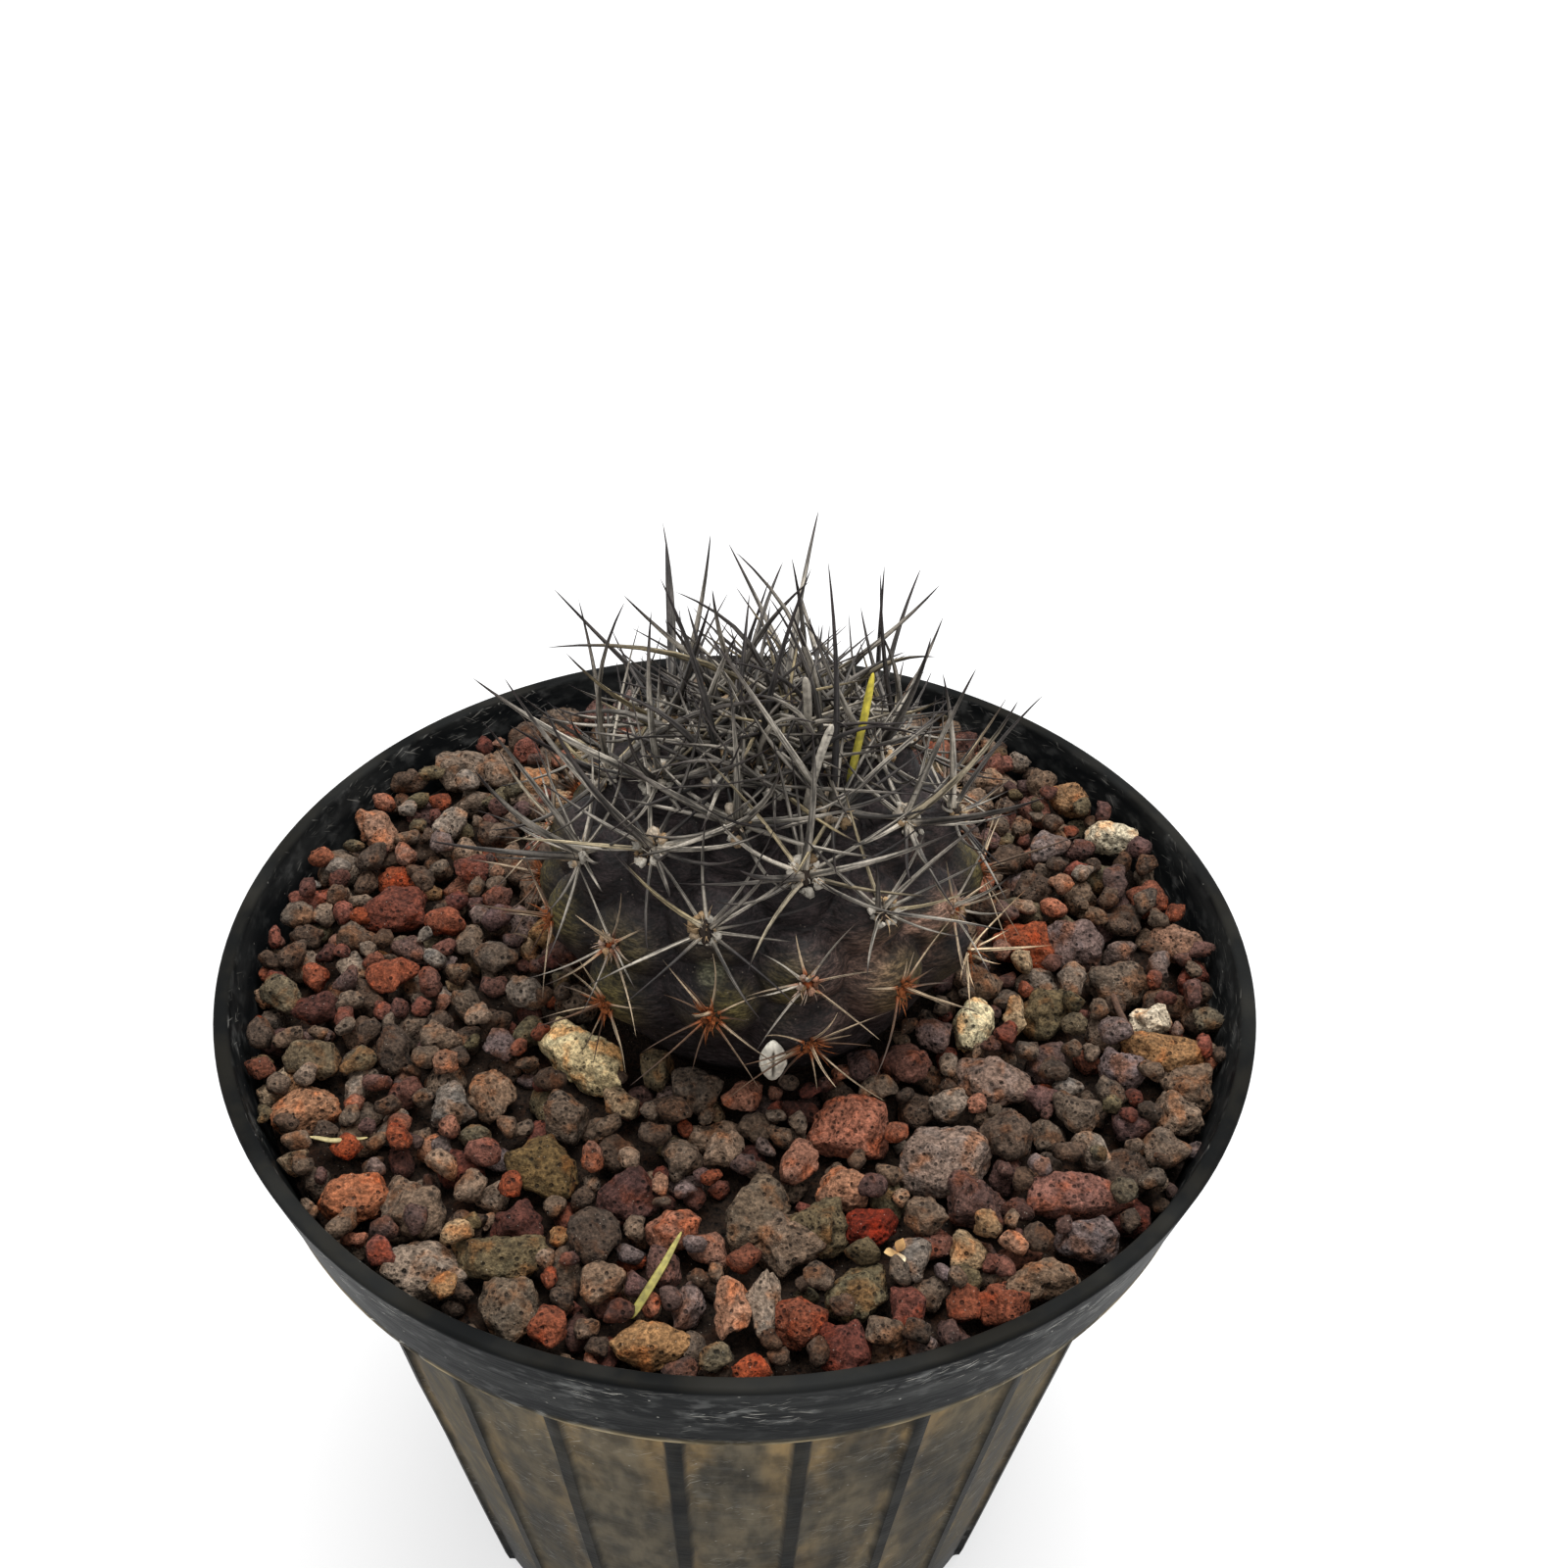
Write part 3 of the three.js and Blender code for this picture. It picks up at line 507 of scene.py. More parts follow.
@dataclass(frozen=True)
class PotFinish:
    """Black moulded plastic: smears, scratches and specks, and on the wall a brown film with tan edges."""

    black: Triple = (0.006, 0.0068, 0.0074)
    slate: Triple = (0.030, 0.031, 0.030)
    smear: Triple = (0.180, 0.182, 0.175)
    film: Triple = (0.148, 0.125, 0.087)
    tan: Triple = (0.40, 0.26, 0.105)
    edge: Triple = (0.46, 0.37, 0.22)
    scuff: Triple = (0.58, 0.56, 0.50)
    streaks: Triple = (0.2, 0.2, 1.0)
    brush_strokes: Triple = (0.7, 0.7, 1.15)
    runs: Triple = (1.0, 1.0, 0.4)
    wrap_radius_mm: float = 56.0
    scratch_turns: Row = (0.9, -1.25, 1.5)
    scratch_draw: Triple = (1.0, 0.07, 1.0)
    scratches_per_mm: float = 3.8
    seam_fade: Pair = (2.9, 3.1)
    relief_mm: float = 0.05
    stored: tuple[str, ...] = ("dust", "stain", "worn", "scuffs")

    def scratches(self, recipe: Recipe) -> Socket:
        """Fine scratches at a few angles on the unrolled wall, which fade out at its seam behind."""
        axes = recipe.add("ShaderNodeSeparateXYZ", {0: recipe.place}).outputs
        azimuth = recipe.figure("ARCTAN2", axes[0], recipe.figure("MULTIPLY", axes[1], -1.0))
        around = recipe.figure("MULTIPLY", azimuth, self.wrap_radius_mm * MM)
        unrolled = recipe.add("ShaderNodeCombineXYZ", {0: around, 1: axes[2], 2: 0.0}).outputs[0]
        families = []
        for turn in self.scratch_turns:
            place = recipe.add("ShaderNodeMapping", {"Vector": unrolled, "Rotation": (0, 0, turn)}).outputs[0]
            drawn = recipe.add("ShaderNodeMapping", {"Vector": place, "Scale": self.scratch_draw}).outputs[0]
            families.append(recipe.span(recipe.noise(self.scratches_per_mm, 1.5, drawn), 0.665, 0.71))
        off_seam = recipe.span(recipe.figure("ABSOLUTE", azimuth), *self.seam_fade, 1.0, 0.0)
        return recipe.figure("MULTIPLY", recipe.figure("MAXIMUM", *families), off_seam)

    def material(self) -> Material:
        """The finish as a material."""
        recipe = Recipe("pot_plastic", roughness=0.45, specular=0.01)
        streaky, brushed, upright = map(recipe.stretched, (self.streaks, self.brush_strokes, self.runs))
        dust, stain, worn, scuffs = (recipe.painted(name, "Fac") for name in self.stored)
        clouds = recipe.span(recipe.noise(0.12, 3.0), 0.42, 0.62)
        slate = recipe.span(recipe.noise(0.3, 3.0, streaky), 0.4, 0.7)
        slate = recipe.figure("MULTIPLY", slate, recipe.span(scuffs, 0.0, 1.0, 0.4, 1.0))
        colour = recipe.blend(self.black, self.slate, slate)
        smears = recipe.span(recipe.noise(0.55, 7.0, brushed), 0.49, 0.74)
        smears = recipe.figure("MULTIPLY", smears, scuffs, recipe.span(clouds, 0.0, 1.0, 0.35, 1.0))
        colour = recipe.blend(colour, self.smear, smears)
        patches = recipe.span(recipe.noise(0.1, 4.0, upright), 0.34, 0.64, 0.4, 1.0)
        mottles = recipe.span(recipe.noise(0.5, 5.0, upright), 0.3, 0.7, 0.4, 1.1)
        film = recipe.figure("MULTIPLY", patches, mottles, dust)
        colour = recipe.blend(colour, self.film, film)
        rings = recipe.span(recipe.noise(0.13, 5.0, upright), 0.43, 0.6, 0.0, 0.95)
        colour = recipe.blend(colour, self.tan, recipe.figure("MULTIPLY", stain, rings, mottles))
        speckles = recipe.span(recipe.cells(0.45), 0.035, 0.08, 1.0, 0.0)
        scratches = recipe.figure("MULTIPLY", self.scratches(recipe), clouds)
        marks = recipe.figure("MULTIPLY", recipe.figure("MAXIMUM", scratches, speckles), scuffs)
        colour = recipe.blend(colour, self.scuff, recipe.figure("MULTIPLY", marks, 0.8))
        rubbed = recipe.span(recipe.noise(0.8, 4.0, streaky), 0.38, 0.62, 0.2, 1.0)
        colour = recipe.blend(colour, self.edge, recipe.figure("MULTIPLY", worn, rubbed, 0.85))
        dull = recipe.span(recipe.figure("ADD", film, smears), 0.0, 1.2, 0.38, 0.7)
        height = recipe.figure("ADD", recipe.noise(1.6, 3.0, streaky), recipe.figure("MULTIPLY", marks, -0.6))
        return recipe.done(colour, recipe.bump(height, self.relief_mm), dull)


@dataclass(frozen=True)
class MixFinish:
    """Dark damp mineral potting mix."""

    dark: Triple = (0.030, 0.020, 0.014)
    light: Triple = (0.13, 0.085, 0.055)

    def material(self) -> Material:
        """The finish as a material."""
        recipe = Recipe("potting_mix", roughness=0.92, specular=0.25)
        crumbs = recipe.noise(0.8, 5.0)
        colour = recipe.blend(self.dark, self.light, recipe.span(crumbs, 0.35, 0.7))
        colour = recipe.shade(colour, (recipe.cells(0.5), 0.2, 0.7))
        return recipe.done(colour, recipe.bump(crumbs, 0.5))


@dataclass(frozen=True)
class SkinFinish:
    """The stem's waxy skin: its stored tint with fine wrinkles, painted lighter on their ridges and darker in
    their creases, corky specks and a little sheen.
    """

    cork: Triple = (0.23, 0.19, 0.15)
    flattening: Triple = (0.55, 0.55, 1.9)
    relief_mm: float = 0.3

    def material(self) -> Material:
        """The finish as a material."""
        recipe = Recipe("cactus_skin", roughness=0.6, specular=0.22)
        flattened = recipe.stretched(self.flattening)
        wrinkles = recipe.noise(1.5, 6.0, flattened)
        specks = recipe.span(recipe.cells(1.3), 0.07, 0.16, 1.0, 0.0)
        corky = recipe.span(recipe.noise(0.16, 2.0), 0.48, 0.62)
        # Painted light and shade: the wrinkles that make the bump also make the colour lighter on their
        # ridges and darker in their creases.
        colour = recipe.shade(
            recipe.painted("tint"),
            (recipe.noise(0.22, 3.0), 0.35, 0.7, 0.65, 1.5),
            (wrinkles, 0.36, 0.64, 0.45, 1.6),
            (recipe.noise(5.0, 4.0, flattened), 0.38, 0.64, 0.6, 1.5),
        )
        colour = recipe.blend(colour, self.cork, recipe.figure("MULTIPLY", specks, corky, 0.6))
        dull = recipe.span(wrinkles, 0.3, 0.7, 0.5, 0.75)
        return recipe.done(colour, recipe.bump(wrinkles, self.relief_mm), dull)


@dataclass(frozen=True)
class FibreFinish:
    """Wool and dry plant bits: the stored tint with a fine grain."""

    name: str
    roughness: float
    grain_per_mm: float
    relief_mm: float
    specular: float = 0.4

    def material(self) -> Material:
        """The finish as a material."""
        recipe = Recipe(self.name, roughness=self.roughness, specular=self.specular)
        grain = recipe.noise(self.grain_per_mm, 4.0)
        colour = recipe.shade(recipe.painted("tint"), (grain, 0.3, 0.7, 0.7, 1.35))
        return recipe.done(colour, recipe.bump(grain, self.relief_mm))


@dataclass(frozen=True)
class SpineFinish:
    """Horny spines: the stored tint, streaked lengthwise along the stored course of the grain."""

    relief_mm: float = 0.05

    def material(self) -> Material:
        """The finish as a material."""
        recipe = Recipe("spines", roughness=0.55, specular=0.3)
        streaks = recipe.noise(1.3 * MM, 3.0, recipe.painted("grain", "Vector"))
        colour = recipe.shade(
            recipe.painted("tint"),
            (streaks, 0.38, 0.62, 0.3, 1.75),
            (recipe.noise(2.5, 3.0), 0.3, 0.7, 0.8, 1.2),
        )
        return recipe.done(colour, recipe.bump(streaks, self.relief_mm))


@dataclass(frozen=True)
class FloorFinish:
    """A plain pale floor with the slightest unevenness of tone, lit from below like a light table."""

    glow: float = 0.62
    colour: Triple = (0.42, 0.42, 0.42)

    def material(self) -> Material:
        """The finish as a material."""
        recipe = Recipe("pale_floor", roughness=0.9, specular=0.1)
        recipe.shader.inputs["Emission Color"].default_value = (1.0, 1.0, 1.0, 1.0)
        recipe.shader.inputs["Emission Strength"].default_value = self.glow
        return recipe.done(recipe.shade(self.colour, (recipe.noise(0.004, 2.0), 0.3, 0.7, 0.99, 1.01)))


# Pot

@dataclass(frozen=True)
class Pot:
    """The nursery pot: a tapered cup with a deep rim band, 24 upright ribs and a raised, drilled floor."""

    height: float = 96.0
    rim_radius: float = 60.0
    lip_width: float = 1.8
    lip_round: float = 0.5
    band_height: float = 14.0
    band_foot_radius: float = 56.7
    band_wall: float = 1.5
    wall_top_radius: float = 52.5
    foot_radius: float = 39.4
    wall: float = 1.3
    foot_ring_width: float = 3.2
    floor_lift: float = 3.0
    floor_thickness: float = 1.8
    rib_count: int = 24
    rib_first_angle: float = -80.35
    rib_proud: float = 0.6
    rib_foot: float = 1.0
    rib_offsets: Row = (-1.5, -1.2, -0.85, 0.0, 0.85, 1.2, 1.5, 3.2, 5.2, 7.5, 9.8, 11.8)
    rib_flank: Pair = (0.9, 1.45)
    drain_count: int = 6
    drain_radius: float = 4.0
    drain_circle: float = 26.0
    drill_clear: float = 1.5
    waviness: float = 0.12
    sharp_angle: float = 48.0

    @property
    def band_foot(self) -> float:
        """Height of the rim band's lower edge."""
        return self.height - self.band_height

    @property
    def ledge(self) -> float:
        """Height of the ledge inside the rim band."""
        return self.band_foot + self.band_wall

    def wall_radius(self, z: Array | float) -> Array:
        """Outer radius of the wall: straight from the foot to the band."""
        return mix(self.foot_radius, self.wall_top_radius, np.asarray(z) / self.band_foot)

    def inner_radius(self, z: float) -> float:
        """Inner radius of the rim band: straight from the ledge to the lip."""
        share = (z - self.ledge) / (self.height - self.lip_round - self.ledge)
        return float(mix(self.band_foot_radius - self.band_wall, self.rim_radius - self.lip_width, share))

    def profile(self) -> Array:
        """The closed outline from the underside's centre up the outside, over the lip and down the inside.

        Returns:
            Radius and height of each point, (n, 2).
        """
        quarter = np.radians([0, 30, 60, 90])
        lip = self.lip_round
        outer, inner = self.rim_radius - lip, self.rim_radius - self.lip_width + lip
        lip_out = [(outer + lip * np.cos(a), self.height - lip + lip * np.sin(a)) for a in quarter]
        lip_in = [(inner - lip * np.sin(a), self.height - lip + lip * np.cos(a)) for a in quarter]
        foot_in = self.foot_radius - self.foot_ring_width
        under = [(r, self.floor_lift) for r in (12, 20, 28, foot_in - 0.3)]
        ring = [(foot_in, self.floor_lift - 0.3), (foot_in, 0.3), (foot_in + 0.3, 0)]
        foot = [(self.foot_radius - 0.4, 0), (self.foot_radius, 0.4)]
        rises = [1.0, 1.6, 4, 9, 15, 22, 29, 36, 43, 50, 57, 63, 68, 73, 77, 80, 81.4, self.band_foot - 0.15]
        outside = [(float(self.wall_radius(z)), z) for z in rises]
        edge, edge_radius = self.band_foot, self.band_foot_radius
        step_in = [(self.wall_top_radius + 0.15, edge), (edge_radius - 0.55, edge)]
        burr = [(edge_radius - 0.1, edge - 0.12), (edge_radius + 0.12, edge)]
        band_rises = [0.35, 1.2, 3, 5.5, 8, 10.5, 12.2, 13.1]
        slope = (self.rim_radius - edge_radius) / (self.band_height - lip)
        band = [(edge_radius + slope * rise, edge + rise) for rise in band_rises]
        falls = [94.6, 92, 89, 86, self.ledge + 0.4]
        inside_band = [(self.inner_radius(z), z) for z in falls]
        ledge_radii = (self.inner_radius(self.ledge) - 0.4, self.wall_top_radius - self.wall)
        ledge = [(radius, self.ledge) for radius in ledge_radii]
        floor_top = self.floor_lift + self.floor_thickness
        inside = [(float(self.wall_radius(z)) - self.wall, z) for z in (82, 60, 40, 20, floor_top)]
        floor = [(r, floor_top) for r in (32, 20, 12)]
        outer_parts = under + ring + foot + outside + step_in + burr + band + lip_out
        return np.array(outer_parts + lip_in + inside_band + ledge + inside + floor, dtype=float)

    def build(self) -> Object:
        """The pot: point = radius (cos a, sin a) at its height, with radius + proud on a rib.

        Returns:
            The piece, with its drain holes cut and its stored dust and wear.
        """
        profile = self.profile()
        sector = 360 / self.rib_count
        offsets = np.array(self.rib_offsets)
        angles = (self.rib_first_angle + sector * np.arange(self.rib_count)[:, None] + offsets).ravel()
        on_rib = np.tile(1 - smoothstep(np.abs(offsets), *self.rib_flank), self.rib_count)
        radius, z = profile[:, :1], profile[:, 1:]
        on_wall = np.abs(radius - self.wall_radius(z)) < 0.2
        outer_wall = on_wall & (z >= self.rib_foot) & (z < self.band_foot)
        turn = np.radians(angles)
        wave = self.waviness * swells(spun(2.0, turn, 0.08 * z), 5)
        outside = (radius > 30) & (z > 1)
        points = spun(radius + self.rib_proud * np.where(outer_wall, on_rib, 0) + wave * outside, turn, z)
        centres = np.array([[0, 0, self.floor_lift], [0, 0, self.floor_lift + self.floor_thickness]])
        obj = make_object("pot_body", points, closed_faces(*points.shape[:2]), centres)
        self.weather(obj, profile, angles, on_rib, outer_wall)
        self.drill(obj)
        obj.data.set_sharp_from_angle(angle=np.radians(self.sharp_angle))
        return obj

    def weather(self, obj: Object, profile: Array, angles: Array, on_rib: Array, outer_wall: Array) -> None:
        """Stores where the pot is dusty, stained beside its ribs, worn at its edges and scuffed.

        Args:
            obj: the pot.
            profile: radius and height of each row, (rows, 2).
            angles: angle of each column in degrees, (columns,).
            on_rib: 1 for a column on a rib and 0 for one between ribs, (columns,).
            outer_wall: True for a row on the outer wall, (rows, 1).
        """
        radius, z = profile[:, :1], profile[:, 1:]
        sector = 360 / self.rib_count
        gap = np.abs((angles - self.rib_first_angle + sector / 2) % sector - sector / 2)
        beside_rib = np.exp(-((gap - 2.2) / 1.3) ** 2)
        fade = smoothstep(z, 2, 20) * (0.75 + 0.25 * smoothstep(z, 60, 80))
        high = 0.35 + 0.65 * smoothstep(z, 58, 78)
        in_band = (radius < self.rim_radius - self.lip_width + 0.1) & (z > self.ledge - 0.5)
        scuffs = np.where(in_band, 0.3, 1 - smoothstep(z, 94.6, 95.4))
        lip_edge = np.exp(-(((z - self.height) / 0.35) ** 2)) * 0.02
        burr_edge = np.exp(-(((z - self.band_foot) / 0.28) ** 2)) * (radius > self.band_foot_radius - 0.3)
        weathering = {
            "dust": np.where(outer_wall, fade * (1 - 0.8 * on_rib), 0.0),
            "stain": np.where(outer_wall, fade * high * (1 - on_rib) * (0.12 + 0.88 * beside_rib), 0.0),
            "worn": lip_edge + burr_edge,
            "scuffs": np.where(outer_wall, 0.3 * (1 - on_rib), scuffs),
        }
        for name, values in weathering.items():
            every_corner = np.broadcast_to(values, (len(profile), len(angles)))
            paint(obj, name, np.append(every_corner.ravel(), [0, 0]))

    def drill(self, obj: Object) -> None:
        """Cuts the drain holes through the floor of the pot."""
        ring = np.radians(np.arange(0, 360, 10))
        floor_top = self.floor_lift + self.floor_thickness
        heights = np.array([self.floor_lift - self.drill_clear, floor_top + self.drill_clear])
        middles = spun(self.drain_circle, circle(self.drain_count), 0.0)[:, None, None]
        rims = middles + spun(self.drain_radius, ring, heights[:, None])
        side = np.arange(len(ring))[None]
        faces = [grid_faces(2, len(ring)), side[:, ::-1], len(ring) + side]
        faces = [repeated(part, self.drain_count, 2 * len(ring)) for part in faces]
        cutter = make_object("drain_cutter", rims, faces)
        hole = obj.modifiers.new("drain_holes", "BOOLEAN")
        hole.operation, hole.solver, hole.object = "DIFFERENCE", "EXACT", cutter
        shaped = obj.evaluated_get(bpy.context.evaluated_depsgraph_get())
        old, obj.data = obj.data, bpy.data.meshes.new_from_object(shaped)
        obj.modifiers.clear()
        bpy.data.meshes.remove(old)
        bpy.data.objects.remove(cutter)

    def dress(self, obj: Object) -> None:
        """Gives the pot its plastic and hides the plain solid."""
        finish_piece(obj, PotFinish().material(), "pot")


# Stones

class Tone(ScreenColour):
    """The colours of the lava grit."""

    BROWN_GREY = (110, 90, 73)
    DARK_BROWN = (88, 67, 52)
    TAUPE = (132, 108, 88)
    ASH = (132, 118, 105)
    OLIVE = (103, 89, 63)
    PLUM = (98, 69, 63)
    LILAC = (122, 101, 96)
    BRICK = (122, 66, 52)
    TERRACOTTA = (152, 94, 70)
    RUST = (136, 64, 35)
    MAROON = (94, 51, 42)
    SALMON = (162, 114, 86)
    TAN = (168, 136, 98)
    OCHRE = (150, 110, 68)
    BONE = (204, 194, 172)


@dataclass(frozen=True)
class Stone:
    """One stone: a globe cut by planes, stretched to a size, tilted, turned and put in its place."""

    place: Triple
    size: Triple
    turn: float
    colour: Colour
    seed: int
    tilt: float = 6.0
    bow: float = 0.0


@dataclass(frozen=True)
class StoneForm:
    """How finely a lot of stones is worked: the cuts of the globe, its planes, relief and tints."""

    cuts: int
    planes: int = 13
    nearest_plane: float = 0.70
    farthest_plane: float = 0.98
    farthest_reach: float = 1.12
    sharpness: float = 26.0
    usual_half_size: float = 2.9
    lump_per_size: float = 0.1
    lumps_per_mm: float = 0.55
    grain_mm: float = 0.12
    grain_per_mm: float = 1.3
    pit_mm: float = 0.0
    pits_per_mm: float = 0.95
    plain: Triple = (1.21, 0.905, 0.69)
    plainness: float = 0.5
    variety: float = 1.0

    def planes_of(self, seeds: Array) -> tuple[Array, Array]:
        """Planes spread evenly round each stone by the golden angle, at random distances.

        Args:
            seeds: one seed a stone, (s,).

        Returns:
            Unit normals, (s, planes, 3), and distances, (s, planes).
        """
        i = np.arange(self.planes)
        z = 1 - 2 * (i + 0.5) / self.planes
        angle = i * GOLDEN_ANGLE + 1.6 * (draw(seeds[:, None], i, 5) - 0.5)
        flat = np.sqrt(1 - z * z)
        normals = np.stack([flat * np.cos(angle), flat * np.sin(angle), z + 0 * angle], axis=-1)
        return normals, mix(self.nearest_plane, self.farthest_plane, draw(seeds[:, None], i, 6))

    def cut(self, directions: Array, stones: Sequence[Stone], seeds: Array, half: Array) -> Array:
        """Cuts each stone from a globe: reach = soft least of distance / cos(angle to the plane's normal).

        Args:
            directions: unit directions of the globe's points, (v, 3).
            stones: the stones.
            seeds: their seeds, (s,).
            half: their half sizes, (s, 3).

        Returns:
            Points about each stone's own centre, (s, v, 3).
        """
        normals, distances = self.planes_of(seeds)
        facing = np.einsum("vc,spc->svp", directions, normals)
        reach = distances[:, None] / np.maximum(facing, 0.2)
        outermost = np.full((*reach.shape[:2], 1), self.farthest_reach)
        reach = np.concatenate([reach, outermost], axis=-1)
        reach = -np.log(np.exp(-self.sharpness * reach).sum(axis=-1)) / self.sharpness
        local = directions * reach[..., None] * half[:, None]
        bows = np.array([stone.bow for stone in stones]) * half[:, 1]
        local[..., 1] += bows[:, None] * ((local[..., 0] / half[:, None, 0]) ** 2 - 0.4)
        return local

    def relief(self, own: Array, mean: Array) -> tuple[Array, Array]:
        """Lumps, grain and pits, by noise at each point's own place.

        Args:
            own: the points, with each stone in a part of the noise of its own, (s, v, 3).
            mean: mean half size of each stone, (s, 1).

        Returns:
            Heights in millimetres and painted shade from 0 to 1, strongest in the low grain and the pits,
            each (s, v).
        """
        coarse = swells(own * self.lumps_per_mm * (self.usual_half_size / mean[..., None]) ** 0.5, 1)
        middle = swells(own * self.lumps_per_mm * 2.1, 2)
        grain = swells(own * self.grain_per_mm, 3) + 0.6 * swells(own * self.grain_per_mm * 2.1, 4)
        height = 2 * mean * self.lump_per_size * (coarse + 0.45 * middle) + self.grain_mm * grain
        # Painted shade: the low grain and the pits get a share of darkness for the colour.
        hollow = smoothstep(-grain, 0.1, 1.1) * 0.6
        if self.pit_mm:
            size = 0.28 + 0.2 * swells(own * 0.3, 6)
            pit = 1 - smoothstep(pit_distance(own * self.pits_per_mm, 11) / size, 0.35, 1.1)
            height = height - self.pit_mm * pit
            hollow = np.maximum(hollow, 0.85 * pit)
        return height, hollow

    def tints(self, stones: Sequence[Stone], seeds: Array) -> Array:
        """Each stone's linear colour: lighter or darker, warmer or cooler, and drawn to plain brown."""
        tints = np.array([linear(*stone.colour) for stone in stones])
        tints = tints * (1 + self.variety * (0.34 * draw(seeds, 21) - 0.24))[:, None]
        warmth = (draw(seeds, 22) - 0.5)[:, None] * np.array([0.16, 0.0, -0.16])
        tints = tints * (1 + self.variety * warmth)
        plain = tints.mean(axis=1, keepdims=True) * np.array(self.plain)
        return mix(tints, plain, self.plainness * draw(seeds, 23)[:, None])

    @staticmethod
    def placed(local: Array, stones: Sequence[Stone]) -> Array:
        """Turns each stone about X by its tilt and about Z by its turn, and moves it to its place."""
        x, y, z = np.moveaxis(local, -1, 0)
        y, z = turned(y, z, np.radians([stone.tilt for stone in stones])[:, None])
        x, y = turned(x, y, np.radians([stone.turn for stone in stones])[:, None])
        return np.stack([x, y, z], axis=-1) + np.array([stone.place for stone in stones])[:, None]

    def piece(self, name: str, stones: Sequence[Stone]) -> Object:
        """One object that holds the given stones, cut, roughened and put in their places.

        Args:
            name: the piece's name.
            stones: the stones.

        Returns:
            The piece, with its stored tint and its painted shade in the recesses.
        """
        directions, quads = cube_globe(self.cuts)
        seeds = np.array([stone.seed for stone in stones])
        half = np.array([stone.size for stone in stones]) / 2
        local = self.cut(directions, stones, seeds, half)
        height, hollow = self.relief(local + seeds[:, None, None] * 7.31, half.mean(axis=1)[:, None])
        points = self.placed(local + unit(local) * height[..., None], stones)
        corners = len(directions)
        tints = np.repeat(self.tints(stones, seeds), corners, axis=0)
        faces = [repeated(quads, len(stones), corners)]
        return make_object(name, points, faces, tint=tints, hollow=hollow.ravel())


@dataclass(frozen=True)
class LargeStones:
    """The sixteen large stones that lie on the bed, each a piece of its own.

    A row gives the place of the centre, width, depth, thickness and turn, as in the solids, the colour as it
    looks on a screen, and the record's material slot.
    """

    form: StoneForm = StoneForm(
        cuts=20, planes=15, nearest_plane=0.74, lump_per_size=0.05, grain_mm=0.15, pit_mm=0.34,
        plainness=0, variety=0,
    )
    first_seed: int = 500
    rows: tuple[tuple, ...] = (
        ("cream_stone", -17, -15.2, 91.6, 13.5, 6.4, 6.4, -36, (240, 214, 162), "stone_pale"),
        ("cream_slim_stone", 27.4, -8.4, 91.6, 4.4, 7.8, 5.2, -20, (240, 222, 178), "stone_pale"),
        ("brick_red_stone", 13.2, -24.6, 91.6, 8.8, 8.2, 6.4, 12, (158, 100, 78), "stone_red"),
        ("pitted_grey_stone", 22.6, -29.2, 92, 10.6, 8.4, 6.6, 18, (136, 114, 100), "stone_grey"),
        ("lilac_grey_stone", 29.2, -17.4, 91.6, 8.8, 7, 5.6, -14, (130, 106, 92), "stone_purple"),
        ("purple_long_stone", 36.2, -33.4, 92, 11.6, 4.8, 4.4, 4, (124, 84, 72), "stone_purple"),
        ("bright_rust_stone", 14.9, -37.9, 92, 5.2, 5, 4.4, 20, (112, 38, 20), "stone_red"),
        ("terracotta_stone", -38.6, -36, 91.4, 7.8, 6, 5.2, 10, (150, 92, 62), "stone_red"),
        ("grey_block_stone", -20.4, -48.6, 91.4, 6, 7.2, 5.8, 24, (102, 86, 70), "stone_grey"),
        ("olive_block_stone", -19.4, -31, 91.8, 8.8, 7, 5.8, -22, (96, 76, 46), "stone_grey"),
        ("plum_stone", -10.3, -34.6, 91.6, 6.4, 6.2, 5.2, 15, (80, 52, 46), "stone_purple"),
        ("grey_long_stone", 2.8, -36.6, 92, 6.2, 10.2, 5.8, -28, (104, 87, 70), "stone_grey"),
        ("tan_stone", -6.6, -52, 91.6, 7.8, 4.8, 4.6, -6, (150, 112, 74), "stone_pale"),
        ("brick_slab_stone", -42.4, 8, 91.8, 9.4, 6.6, 5, 6, (104, 56, 42), "stone_red"),
        ("off_white_stone", 47.4, 25, 92.4, 7, 5, 4.8, -20, (206, 192, 164), "stone_pale"),
        ("salmon_flat_stone", -46.2, -24.2, 91.4, 7.6, 6.2, 4.6, 16, (146, 104, 76), "stone_red"),
    )

    def stones(self) -> dict[str, tuple[Stone, str]]:
        """Each stone and its material slot, by name."""
        found = {}
        for number, (name, x, y, z, width, depth, thickness, turn, colour, slot) in enumerate(self.rows):
            stone = Stone((x, y, z), (width, depth, thickness), turn, colour, self.first_seed + number)
            found[name] = (stone, slot)
        return found

    def build(self, lava: Material) -> None:
        """Makes and dresses every large stone."""
        for name, (stone, slot) in self.stones().items():
            finish_piece(self.form.piece(f"{name}_surface", [stone]), lava, name)


